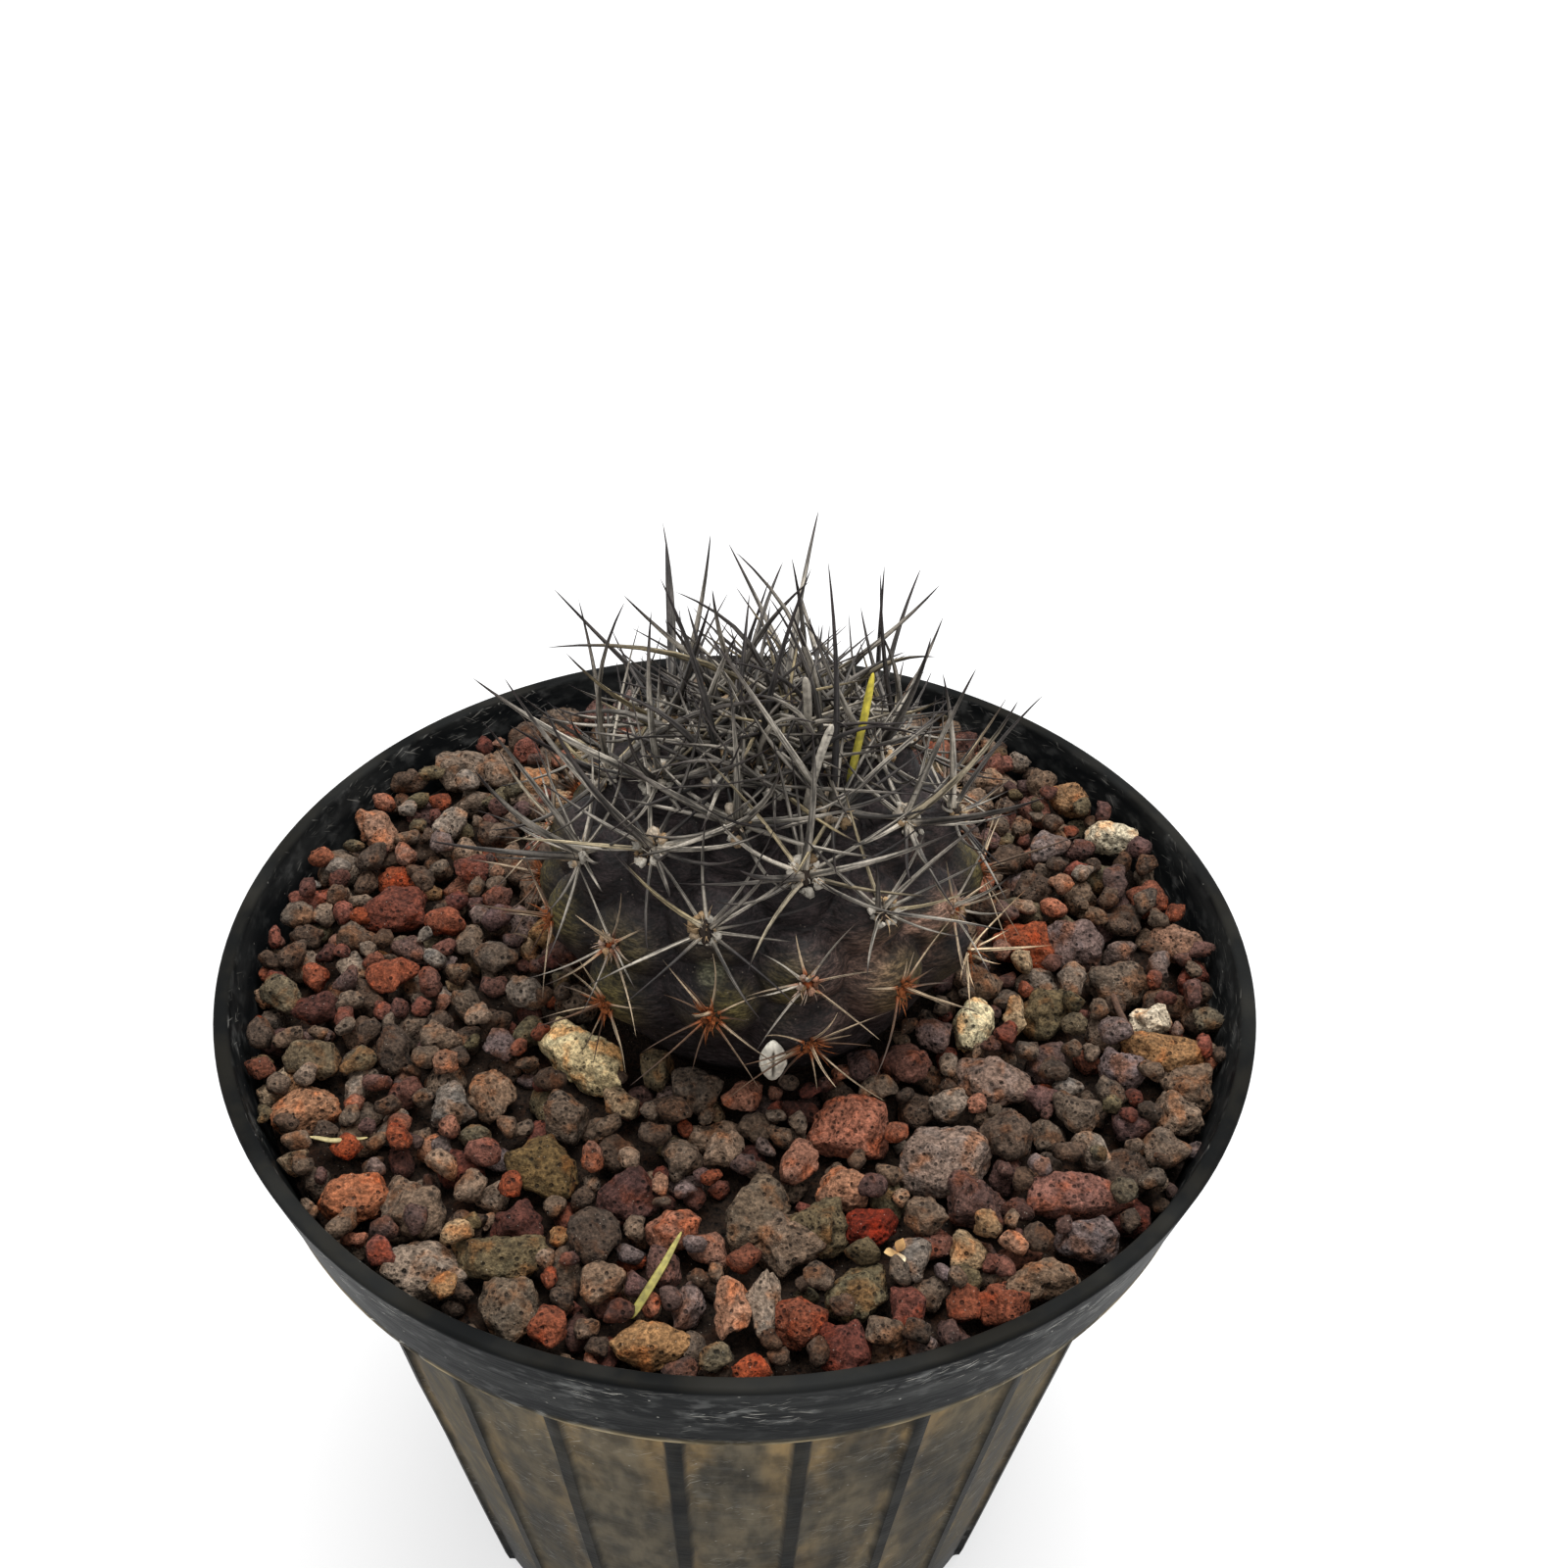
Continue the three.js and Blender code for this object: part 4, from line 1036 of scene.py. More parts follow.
@dataclass
class Heap:
    """The rising surface of the grit while stones are dropped on it: heights on a square grid."""

    half_width: float
    floor: float
    step: float = 0.5
    touching_dome: float = 0.3
    heights: Array = field(init=False)

    def __post_init__(self) -> None:
        """Starts with a level floor."""
        cells = int(2 * self.half_width / self.step)
        self.heights = np.full((cells, cells), self.floor)

    def window(self, x: float, y: float, radius: float) -> tuple[tuple[slice, slice], Array]:
        """The cells under a stone, and the height of a unit dome over each of them."""
        low_x, low_y = (int((value + self.half_width - radius) / self.step) for value in (x, y))
        size = int(2 * radius / self.step) + 1
        cells = (slice(max(low_x, 0), low_x + size), slice(max(low_y, 0), low_y + size))
        at_x, at_y = (np.arange(part.start, part.stop) * self.step - self.half_width for part in cells)
        spread = ((at_x[:, None] - x) ** 2 + (at_y[None] - y) ** 2) / radius**2
        inside = self.heights[cells].shape
        return cells, np.sqrt(np.clip(1 - spread, 0, 1))[: inside[0], : inside[1]]

    def rest_height(self, x: float, y: float, radius: float, half_height: float, bedding: float) -> float:
        """Height of a stone's centre at rest, pressed into its neighbours by the bedding share."""
        cells, dome = self.window(x, y, radius)
        under = self.heights[cells] + half_height * dome * bedding
        return float(np.where(dome > self.touching_dome, under, self.floor).max())

    def cover(self, x: float, y: float, z: float, radius: float, half_height: float) -> None:
        """Raises the surface to a stone that has come to rest."""
        cells, dome = self.window(x, y, radius)
        top = np.where(dome > 0, z + half_height * dome, self.floor)
        self.heights[cells] = np.maximum(self.heights[cells], top)


@dataclass(frozen=True)
class Lot:
    """One lot of dropped stones: how many, how wide, how high they may reach and how they are worked."""

    name: str
    count: int
    widths: Pair
    top: float
    form: StoneForm
    parts: int = 1


@dataclass(frozen=True)
class GravelBed:
    """The bed of lava grit: a floor darkened as painted shade, the stones that the photograph shows well, and
    dropped stones.

    The share of a stone's width that its depth or thickness takes is a least one and what chance adds.
    """

    floor: float = 88.8
    underside: float = 84.1
    under_radii: Row = (12, 30, 46, 55.2)
    brim: Pair = (55.8, 0.6)
    floor_radii: Row = (54, 50, 44, 38, 32, 26, 20, 12)
    columns: int = 120
    stem_place: Pair = (2.45, 1.8)
    stem_radius: float = 20.0
    field_radius: float = 57.3
    heap_half_width: float = 60.0
    candidates: int = 12
    bedding: float = 0.80
    depth_share: Pair = (0.58, 0.38)
    thickness_share: Pair = (0.58, 0.26)
    dropped_tilt: float = 44.0
    dropped_bow: float = 0.7
    shares: tuple[tuple[Tone, float], ...] = (
        (Tone.BROWN_GREY, 0.18),
        (Tone.DARK_BROWN, 0.20),
        (Tone.TAUPE, 0.07),
        (Tone.ASH, 0.04),
        (Tone.OLIVE, 0.10),
        (Tone.PLUM, 0.10),
        (Tone.LILAC, 0.04),
        (Tone.BRICK, 0.08),
        (Tone.TERRACOTTA, 0.04),
        (Tone.RUST, 0.05),
        (Tone.MAROON, 0.06),
        (Tone.SALMON, 0.02),
        (Tone.TAN, 0.02),
        (Tone.OCHRE, 0.01),
    )
    lots: tuple[Lot, ...] = (
        Lot("deep_grit", 230, (3.6, 6.4), 93.2, StoneForm(cuts=5)),
        Lot("grit", 330, (4.4, 7.6), 95.0, StoneForm(cuts=9, grain_mm=0.14), parts=3),
        Lot("fine_grit", 700, (2.2, 4.2), 95.2, StoneForm(cuts=4)),
    )
    named_form: StoneForm = StoneForm(cuts=15, grain_mm=0.15, pit_mm=0.3, plainness=0.3)
    named_seed: int = 700
    named_top: float = 94.6
    named_sinking: float = 0.8
    named_swelling: float = 1.06
    named_tilt: float = 26.0
    named_bow: float = 0.5
    named: tuple[tuple, ...] = (
        (-32.5, -36.5, 6.3, 7.6, 20, Tone.BROWN_GREY),
        (-30.3, -44, 8.7, 6.6, -24, Tone.ASH),
        (-22.2, -42.8, 9.7, 5.2, -6, Tone.OLIVE),
        (-21.2, -38.4, 5.7, 5.2, 30, Tone.MAROON),
        (-5.3, -38.7, 5.1, 4.8, 12, Tone.TERRACOTTA),
        (11.9, -32.9, 5.2, 4.8, -10, Tone.SALMON),
        (6.1, -40.1, 6.1, 6.8, 40, Tone.BROWN_GREY),
        (9.8, -38, 6, 6.2, 60, Tone.OLIVE),
        (13.5, -45.9, 5.5, 6.8, -14, Tone.OLIVE),
        (11.9, -52, 4.9, 5.2, 8, Tone.MAROON),
        (1.2, -48.5, 3.7, 6.4, 6, Tone.SALMON),
        (4.3, -47.6, 3.2, 6.8, -4, Tone.ASH),
        (7.8, -49.1, 4.8, 5.6, -20, Tone.RUST),
        (28.1, -46.8, 5.2, 4.4, 22, Tone.RUST),
        (31.9, -44.4, 7.7, 4.4, 12, Tone.BROWN_GREY),
        (25.8, -33.7, 6.3, 7.2, 34, Tone.PLUM),
        (37.5, -38.2, 7.3, 5, 6, Tone.LILAC),
        (40.7, 4.6, 6.6, 6.2, -30, Tone.LILAC),
        (45.2, -0.7, 8.9, 5.4, 4, Tone.BROWN_GREY),
        (53.2, 5.9, 4.9, 5.4, 40, Tone.SALMON),
        (48.6, -12.8, 8.6, 5.6, -12, Tone.OCHRE),
        (43.7, -14.9, 4.7, 5, 0, Tone.LILAC),
        (51, -17.4, 6.2, 5.8, 70, Tone.BROWN_GREY),
        (49.3, -21.5, 6.4, 4.8, -40, Tone.TAUPE),
        (-30.3, -23.6, 4.6, 5.6, 14, Tone.ASH),
        (-26.3, -21.1, 5, 6.6, 8, Tone.TAUPE),
        (36.2, -6.3, 7, 5.4, 30, Tone.OLIVE),
        (48, -7.4, 4.7, 4.4, 10, Tone.BONE),
        (51.2, 14, 5, 4.6, 0, Tone.RUST),
        (34.4, 5.3, 7.2, 7, 16, Tone.RUST),
        (-38.9, 36.6, 6.2, 7.4, 10, Tone.TAUPE),
        (-34, 36.3, 5.4, 6.4, 0, Tone.TAUPE),
        (-47.8, 23.3, 7.6, 4.8, -50, Tone.SALMON),
        (-26.7, 47.1, 7.4, 6, 20, Tone.BROWN_GREY),
    )

    def named_stones(self) -> list[Stone]:
        """The stones that the photograph shows well: place, width, depth, turn and tone of each."""
        made = []
        for number, (x, y, width, depth, turn, tone) in enumerate(self.named):
            thickness = 0.84 * min(width, depth) + 0.6
            size = (width * self.named_swelling, depth * self.named_swelling, thickness)
            bend, sunk, lean = (float(draw(number, key)) for key in (31, 32, 33))
            z = self.named_top - thickness / 2 - self.named_sinking * sunk
            tilt, bow = self.named_tilt * (lean - 0.5), self.named_bow * (bend - 0.5)
            made.append(Stone((x, y, z), size, turn, tone.value, self.named_seed + number, tilt, bow))
        return made

    def pick_tone(self, chance: float) -> Tone:
        """The tone at which the running sum of the shares passes the chance."""
        running = np.cumsum([share for _, share in self.shares])
        return self.shares[int(np.searchsorted(running, chance * running[-1]))][0]

    def fits(self, x: Array, y: Array, radius: float) -> Array:
        """True where a stone clears both the pot's rim band and the stem."""
        from_axis = np.hypot(x, y) + 0.88 * radius
        from_stem = np.hypot(x - self.stem_place[0], y - self.stem_place[1]) - 0.8 * radius
        return (from_axis < self.field_radius) & (from_stem > self.stem_radius)

    def drop(self, heap: Heap, lot: Lot, first_seed: int) -> list[Stone]:
        """Drops a lot of stones one by one, each at the lowest of several random places.

        Args:
            heap: the surface that they land on, which rises.
            lot: the lot.
            first_seed: seed of the first stone.

        Returns:
            The stones that came to rest below the lot's top.
        """
        rested = []
        tries = np.arange(self.candidates)
        for seed in range(first_seed, first_seed + lot.count):
            width = float(mix(*lot.widths, draw(seed, 41) ** 1.5))
            depth = width * float(self.depth_share[0] + self.depth_share[1] * draw(seed, 42))
            thickness = width * float(self.thickness_share[0] + self.thickness_share[1] * draw(seed, 43))
            radius = (width + depth) / 4
            reach = self.field_radius * np.sqrt(draw(seed, tries, 44))
            angle = 2 * np.pi * draw(seed, tries, 45)
            x, y = reach * np.cos(angle), reach * np.sin(angle)
            allowed = self.fits(x, y, radius)
            spots = [
                (heap.rest_height(px, py, radius, thickness / 2, self.bedding), px, py)
                for px, py in zip(x[allowed], y[allowed])
            ]
            if not spots:
                continue
            z, px, py = min(spots)
            if z + thickness / 2 > lot.top:
                continue
            heap.cover(px, py, z, radius, thickness / 2)
            tone = self.pick_tone(float(draw(seed, 46)))
            turn, tilt = 360 * float(draw(seed, 47)), self.dropped_tilt * (float(draw(seed, 48)) - 0.5)
            bow = self.dropped_bow * (float(draw(seed, 49)) - 0.5)
            rested.append(Stone((px, py, z), (width, depth, thickness), turn, tone.value, seed, tilt, bow))
        return rested

    def ground(self) -> Object:
        """The fine grit under the stones, darkened as painted shade between them: a disc whose top heaves by
        smooth noise.
        """
        rows = [(radius, self.underside) for radius in self.under_radii]
        rows += [(self.brim[0], self.floor - self.brim[1])]
        rows += [(radius, self.floor) for radius in self.floor_radii]
        radius, height = (np.array(column)[:, None] for column in zip(*rows))
        points = spun(radius, circle(self.columns), height)
        rise = 0.6 * swells(points * 0.35, 8) + 0.3 * swells(points * 0.9, 9)
        points[..., 2] += rise * (height > self.floor - self.brim[1] / 2)
        poles = np.array([[0, 0, self.underside], [0, 0, self.floor]])
        corners = len(rows) * self.columns + len(poles)
        # Painted shade: the ground's tint is dark brown at a third of its light, and its stored hollow value
        # darkens it further.
        tints = np.tile(Tone.DARK_BROWN.light * 0.32, (corners, 1))
        faces = closed_faces(len(rows), self.columns)
        return make_object("grit_ground", points, faces, poles, tint=tints, hollow=np.full(corners, 0.4))

    def build(self, lava: Material, large: Sequence[Stone]) -> None:
        """Makes and dresses the ground, the named stones and every lot of dropped stones.

        Args:
            lava: the stones' finish.
            large: the large stones, which lie there first.
        """
        finish_piece(self.ground(), lava, "lava_gravel")
        named = self.named_stones()
        finish_piece(self.named_form.piece("well_shown_grit", named), lava, "lava_gravel")
        heap = Heap(self.heap_half_width, self.floor)
        for stone in (*large, *named):
            radius = (stone.size[0] + stone.size[1]) / 4
            heap.cover(*stone.place[:2], stone.place[2], radius, stone.size[2] / 2)
        for number, lot in enumerate(self.lots):
            stones = self.drop(heap, lot, 1000 * (number + 1))
            LOG.info("%s: %d of %d stones came to rest", lot.name, len(stones), lot.count)
            for part in range(lot.parts):
                share = stones[part :: lot.parts]
                name = f"{lot.name}_{part + 1}"
                finish_piece(lot.form.piece(name, share), lava, "lava_gravel")


# Cactus

class SkinTone(ScreenColour):
    """The colours of the stem and its root."""

    DARK = (34, 28, 28)
    OLIVE = (70, 62, 34)
    # LILAC is the colour of the painted highlight on the stem's right side.
    LILAC = (134, 104, 88)
    SCAR = (112, 110, 88)
    ROOT = (70, 52, 40)


@dataclass(frozen=True)
class Stem:
    """The flattened globe of the stem with its tubercles, and its buried end with the taproot.

    A direction is given by azimuth, from the front towards +X, and latitude. The skin lies at
    centre + (radius + lift, radius + lift, half height + lift) times the direction. A spot is given by its
    azimuth, latitude and spread.
    """

    centre: Triple = (2.45, 1.8, 103.0)
    radius: float = 22.6
    half_height: float = 19.2
    buried_latitude: float = -30.0
    tubercle_height: float = 3.2
    tubercle_spread: float = 12.0
    crown_dimple: float = 0.07
    crease_depth: float = 0.9
    crease_width: float = 4.2
    ribs: int = 14
    first_azimuth: float = 13.0
    even_rows: Row = (73.0, 47.5, 20.0, 0.0)
    odd_rows: Row = (82.0, 61.0, 33.0, 9.5)
    wander: float = 6.0
    # Spots of the painted lilac highlight on the stem's right side: a patch and a wider band.
    painted_highlight_patch: Triple = (54.0, 21.0, 14.0)
    painted_highlight_band: Triple = (31.0, 14.0, 13.0)
    scar: Triple = (-12.4, 20.7, 3.4)
    columns: int = 252
    rows: int = 110
    crown_end: float = 89.2
    root_end: float = 56.0
    root: tuple[Pair, ...] = (
        (17.2, 89.6), (11.6, 85.2), (7.2, 79.5), (4.4, 71), (2.4, 62), (0.8, 56.3),
    )

    @staticmethod
    def direction(azimuth: Array | float, latitude: Array | float) -> Array:
        """(cos lat sin az, -cos lat cos az, sin lat), for angles in degrees."""
        az, lat = np.radians(azimuth), np.radians(latitude)
        parts = (np.cos(lat) * np.sin(az), -np.cos(lat) * np.cos(az), np.sin(lat))
        return np.stack(np.broadcast_arrays(*parts), axis=-1)

    def areoles(self) -> tuple[Array, Array, Array, Array]:
        """Every areole: its rib, its row, its latitude and its direction."""
        pairs = [
            (rib, row, latitude)
            for rib in range(self.ribs)
            for row, latitude in enumerate(self.odd_rows if rib % 2 else self.even_rows)
        ]
        rib, row, latitude = (np.array(column, dtype=float) for column in zip(*pairs))
        azimuth = self.first_azimuth + rib * 360 / self.ribs + self.wander * (draw(rib, row, 1) - 0.5)
        return rib, row, latitude, self.direction(azimuth, latitude)

    @staticmethod
    def angle_to(facing: Array, others: Array) -> Array:
        """Angles in degrees from each direction to each of the others."""
        return np.degrees(np.arccos(np.clip(facing @ others, -1, 1)))

    def nearness(self, facing: Array) -> tuple[Array, Array]:
        """Angles in degrees to the nearest and to the second nearest areole."""
        two = np.partition(self.angle_to(facing, self.areoles()[3].T), 1, axis=-1)[..., :2]
        return two[..., 0], two[..., 1]

    def lift(self, facing: Array) -> Array:
        """Height times exp(-(angle / spread)²) over each tubercle, fading out underground."""
        nearest, _ = self.nearness(facing)
        latitude = np.degrees(np.arcsin(np.clip(facing[..., 2], -1, 1)))
        tubercle = self.tubercle_height * np.exp(-((nearest / self.tubercle_spread) ** 2))
        return tubercle * smoothstep(latitude, -24, -6)

    def skin(self, facing: Array, lift: Array) -> Array:
        """The skin's point in each direction, with the crown drawn in by its dimple."""
        dimple = 1 - self.crown_dimple * smoothstep(facing[..., 2], 0.93, 1)
        across = (self.radius + lift)[..., None] * facing[..., :2]
        height = (self.half_height + lift) * facing[..., 2] * dimple
        return np.concatenate([across, height[..., None]], axis=-1) + np.array(self.centre)

    def normal(self, facing: Array) -> Array:
        """The plain globe's outward direction."""
        return unit(facing / np.array([self.radius, self.radius, self.half_height]))

    def axes(self, facing: Array) -> tuple[Array, Array, Array]:
        """Outward, upward along the skin and sideways directions."""
        outward = self.normal(facing)
        upward = unit(UP - outward * outward[..., 2:])
        return outward, upward, np.cross(upward, outward)

    def spot(self, facing: Array, place: Triple, power: int = 2) -> Array:
        """exp(-(angle / spread)^power) round a spot on the skin."""
        azimuth, latitude, spread = place
        return np.exp(-((self.angle_to(facing, self.direction(azimuth, latitude)) / spread) ** power))

    def tints(self, facing: Array, lift: Array) -> Array:
        """Nearly black brown, with olive low tubercles, a painted lilac highlight at the right and an oval
        scar.
        """
        latitude = np.degrees(np.arcsin(np.clip(facing[..., 2], -1, 1)))
        raised = smoothstep(lift, 0.8, 2.6)[..., None]
        low = (1 - smoothstep(latitude, 12, 34))[..., None]
        green = smoothstep(swells(facing * 3.1, 6), -0.5, 0.4)[..., None]
        colour = mix(SkinTone.DARK.light, SkinTone.OLIVE.light, raised * low * green)
        blotch = smoothstep(swells(facing * 11, 3), -0.3, 0.4)
        # Painted highlight: a lilac patch and band where light falls on the stem's right side.
        patch = self.spot(facing, self.painted_highlight_patch) * blotch
        highlight_share = 0.85 * patch + 0.3 * self.spot(facing, self.painted_highlight_band)
        colour = mix(colour, SkinTone.LILAC.light, np.clip(highlight_share, 0, 1)[..., None])
        return mix(colour, SkinTone.SCAR.light, 0.8 * self.spot(facing, self.scar, 4)[..., None])

    def build(self) -> Object:
        """The globe from crown to buried latitude, then the root, as one closed grid.

        Returns:
            The piece, with its stored tint.
        """
        azimuth = self.first_azimuth + 360 * np.arange(self.columns) / self.columns
        latitude = np.linspace(self.crown_end, self.buried_latitude, self.rows)[:, None]
        facing = self.direction(azimuth[None], latitude)
        nearest, second = self.nearness(facing)
        lift = self.lift(facing)
        crease = np.exp(-(((second - nearest) / self.crease_width) ** 2)) * smoothstep(latitude, -26, -8)
        crease = crease * (1 - smoothstep(latitude, 70, 84))
        skin = self.skin(facing, lift)
        wrinkle = 0.22 * swells(skin * 0.5, 1) + 0.12 * swells(skin * 1.4, 2)
        skin = skin + self.normal(facing) * (wrinkle - self.crease_depth * crease)[..., None]
        radius, height = (np.array(column)[:, None, None] for column in zip(*self.root))
        around = self.direction(azimuth, 0.0)[None]
        root = np.concatenate([radius * around[..., :2], height + 0 * around[..., 2:]], axis=-1)
        root[..., :2] += np.array(self.centre[:2])
        points = np.concatenate([skin, root])[::-1]
        poles = np.array([[*self.centre[:2], self.root_end], self.skin(UP, np.zeros(()))])
        tints = np.tile(SkinTone.ROOT.light, (points.shape[0], self.columns, 1))
        tints[len(self.root):] = self.tints(facing, lift)[::-1]
        tints = np.concatenate([tints.reshape(-1, 3), [SkinTone.DARK.light] * 2])
        return make_object("stem_skin", points, closed_faces(*points.shape[:2]), poles, tint=tints)


class HornTone(ScreenColour):
    """The colours of the spines."""

    DARK_GREY = (46, 42, 41)
    PALE_GREY = (166, 158, 145)
    STRAW = (156, 140, 104)
    DARK_TIP = (34, 27, 26)
    PALE_FOOT = (160, 150, 134)
    RUST = (136, 76, 42)
    BONE = (168, 148, 122)
    BROWN = (88, 66, 50)
    BROWN_TIP = (64, 52, 46)
    CREAM = (214, 190, 156)
    TAN_TIP = (140, 100, 70)


@dataclass(frozen=True)
class SpineRows:
    """One entry a spine: where it stands, where it ends and how it is built."""

    rib: Array
    row: Array
    latitude: Array
    facing: Array
    number: Array
    tip: Array
    bow: Array
    radius: Array

    @property
    def seed(self) -> Array:
        """A whole number for each spine."""
        return self.rib * 100 + self.row * 20 + self.number

    def only(self, kept: Array) -> SpineRows:
        """The spines for which kept is True."""
        return SpineRows(*(column[kept] for column in vars(self).values()))

    def joined(self, other: SpineRows) -> SpineRows:
        """These spines and the other ones."""
        pairs = zip(vars(self).values(), vars(other).values())
        return SpineRows(*(np.concatenate(pair) for pair in pairs))


@dataclass(frozen=True)
class Spines:
    """The spines, each along P(t) = base + chord t + 4 bow side t (1 - t).

    Pairs run from the old areoles near the ground to the young ones on top. A leading spine is one that
    stands out by itself: rib and row of its areole, its tip, and how far it bows upwards. The pale areole,
    by rib and row, bears cream spines.
    """

    stem: Stem = Stem()
    old_latitude: float = 12.0
    young_latitude: float = 50.0
    crown_latitude: float = 70.0
    radials: int = 12
    crown_centrals: int = 2
    crown_radials: int = 8
    kept_step: int = 3
    central_length: Pair = (9.5, 19)
    central_radius: Pair = (0.22, 0.45)
    central_lift: Pair = (64, 50)
    central_spread: Pair = (24, 34)
    central_fan: Pair = (58, 84)
    radial_length: Pair = (9.0, 14.5)
    radial_radius: Pair = (0.145, 0.29)
    radial_lift: Pair = (18, 20)
    radial_fan: Pair = (340, 290)
    crown_lift: Pair = (16, 58)
    crown_length: Pair = (12.5, 19)
    crown_bow: Pair = (0.4, 2.6)
    droop: Pair = (0.015, 0.085)
    set_out: float = 1.15
    sunk: float = 1.2
    floor: float = 94.2
    floor_softness: float = 3.0
    sides: int = 6
    pale_areole: tuple[int, int] = (2, 3)
    stations: Row = (0.0, 0.04, 0.1, 0.22, 0.36, 0.5, 0.64, 0.77, 0.88, 0.95)
    leading: tuple[Row, ...] = (
        (6, 0, 8, 30, 137, 0.9),
        (6, 0, -21, 4, 134, 3.6),
        (4, 0, -1, 5, 146, 2.4),
        (13, 0, 7, -1, 148, 0.8),
        (1, 1, 8.6, 2, 147, 1),
        (1, 1, -3, -8, 144.5, 0.8),
        (5, 2, 20.5, 30, 129.5, 0.6),
        (7, 1, 4, 28, 131, 1.2),
        (5, 0, -7.5, 8, 139, 3.2),
        (12, 0, -8, -3, 147.5, 0.5),
        (10, 1, -12, 2, 141.5, 2),
        (10, 1, 7, -6, 135, 2.6),
        (9, 2, -18, 10, 136.5, -1.4),
        (8, 1, -10, 30, 132.5, 1),
        (11, 1, -9, -2, 143, 0.6),
        (11, 1, -27, -6, 137, -0.8),
        (5, 1, 21, 8, 131.5, 1.6),
        (8, 0, 7, 10, 139.5, 1.6),
        (3, 1, 19.5, 0, 139.5, -0.7),
        (4, 1, 14.5, 8, 135, 1),
        (3, 2, 21, 0, 135, 0.6),
        (2, 1, 28, -8, 137.5, -1.1),
        (2, 1, 24, -4, 138.5, -1.2),
        (2, 1, 30.5, -16, 131.5, -0.9),
        (12, 1, -23, -10, 140, -1.2),
        (12, 1, -18.5, -14, 139, -0.7),
        (11, 2, -26, -8, 133, -1.2),
        (11, 2, -26.5, -12, 130, -1.1),
        (11, 2, -31.5, -14, 122, -0.7),
    )

    def central_rule(self, order: Array, young: Array, crown: Array, chance: Sequence[Array]) -> Array:
        """How the central spines of the areoles stand.

        Args:
            order: a spine's number counted from the middle one, (n,).
            young: 0 for old areoles and 1 for young ones, (n,).
            crown: True for the areoles of the crown, (n,).
            chance: five random numbers from 0 to 1 for each spine.

        Returns:
            Turn and lift in degrees, length, bow and radius, (5, n).
        """
        turn = order * mix(*self.central_fan, young) + 44 * (chance[0] - 0.5)
        turn = np.where(crown, 340 * (chance[0] - 0.5), turn)
        upward = np.cos(np.radians(turn)) * young
        lift = mix(*self.central_lift, young) + mix(*self.central_spread, young) * (chance[1] - 0.5)
        lift = np.where(crown, mix(*self.crown_lift, chance[1]), lift - 14 * upward)
        length = mix(*self.central_length, young) * (0.78 + 0.5 * chance[2])
        length = np.where(crown, mix(*self.crown_length, chance[2]), length)
        bow = np.where(crown, mix(*self.crown_bow, chance[4]), -0.03 * length * (0.2 + 1.5 * chance[4]))
        return np.stack([turn, lift, length, bow, mix(*self.central_radius, young)])

    def radial_rule(
        self, share: Array, young: Array, crown: Array, chance: Sequence[Array], loose: Array, stunted: Array
    ) -> Array:
        """How the radial spines of the areoles stand.

        Args:
            share: place in the fan of radials, from -0.5 to 0.5, (n,).
            young, crown, chance: as for the central spines.
            loose: how far a spine strays from the fan, 0 to 1, (n,).
            stunted: the share of its length that it has lost, (n,).

        Returns:
            Turn and lift in degrees, length, bow and radius, (5, n).
        """
        turn = share * np.where(crown, 360, mix(*self.radial_fan, young))
        turn = turn + (22 + 34 * loose) * (chance[0] - 0.5)
        upward = np.cos(np.radians(turn)) * young
        lift = mix(*self.radial_lift, young) - 5 * upward + 18 * (chance[1] - 0.5)
        length = mix(*self.radial_length, young) * (1 + 0.16 * upward) * (0.74 + 0.52 * chance[2])
        length = length * (1 - stunted)
        droop = mix(*self.droop, young) * length * (0.3 + 1.4 * chance[4])
        bow = np.where(crown, 0.05 * length * (chance[4] - 0.3), -droop)
        return np.stack([turn, lift, length, bow, mix(*self.radial_radius, young)])

    def by_rule(self) -> SpineRows:
        """Spines by the rule of their areole: tip = skin + length (way on the skin cos lift + out sin lift).

        Returns:
            The spines, without the centrals that leading ones stand in for.
        """
        rib, row, latitude, facing = self.stem.areoles()
        young = smoothstep(latitude, self.old_latitude, self.young_latitude)
        crown = latitude > self.crown_latitude
        centrals = np.where(crown, self.crown_centrals, 1 + np.floor(2 * young + 0.5)).astype(int)
        rays = np.where(crown, self.crown_radials, self.radials)
        totals = centrals + rays
        which = np.repeat(np.arange(len(rib)), totals)
        number = np.concatenate([np.arange(total) for total in totals])
        lead = np.array(self.leading)
        led = ((lead[:, 0] == rib[:, None]) & (lead[:, 1] == row[:, None])).sum(axis=1)
        kept = number >= np.minimum(led, centrals)[which]
        which, number = which[kept], number[kept]
        rib, row, latitude, facing = rib[which], row[which], latitude[which], facing[which]
        young, crown, centrals, rays = young[which], crown[which], centrals[which], rays[which]
        chance = [draw(rib + 1, 10 * row + number, 3 + key) for key in range(5)]
        central = number < centrals
        anchored = central | ((number - centrals) % self.kept_step == 1)
        loose = np.where(anchored, 0.0, 1 - young)
        stunted = 0.45 * loose * draw(rib, number, row + 7)
        share = (number - centrals + 0.5) / rays - 0.5
        by_kind = (
            self.central_rule(number - (centrals - 1) / 2, young, crown, chance),
            self.radial_rule(share, young, crown, chance, loose, stunted),
        )
        turn, lift, length, bow, radius = np.where(central, *by_kind)
        turn, lift = np.radians(turn)[:, None], np.radians(lift)[:, None]
        outward, upward, sideways = self.stem.axes(facing)
        heading = (np.cos(turn) * upward + np.sin(turn) * sideways) * np.cos(lift) + np.sin(lift) * outward
        tip = self.stem.skin(facing, self.stem.lift(facing)) + heading * length[:, None]
        radius = radius * (0.85 + 0.3 * chance[3])
        rows = SpineRows(rib, row, latitude, facing, number, tip, bow, radius)
        return rows.only(draw(rib, number, row + 17) > 0.4 * loose)

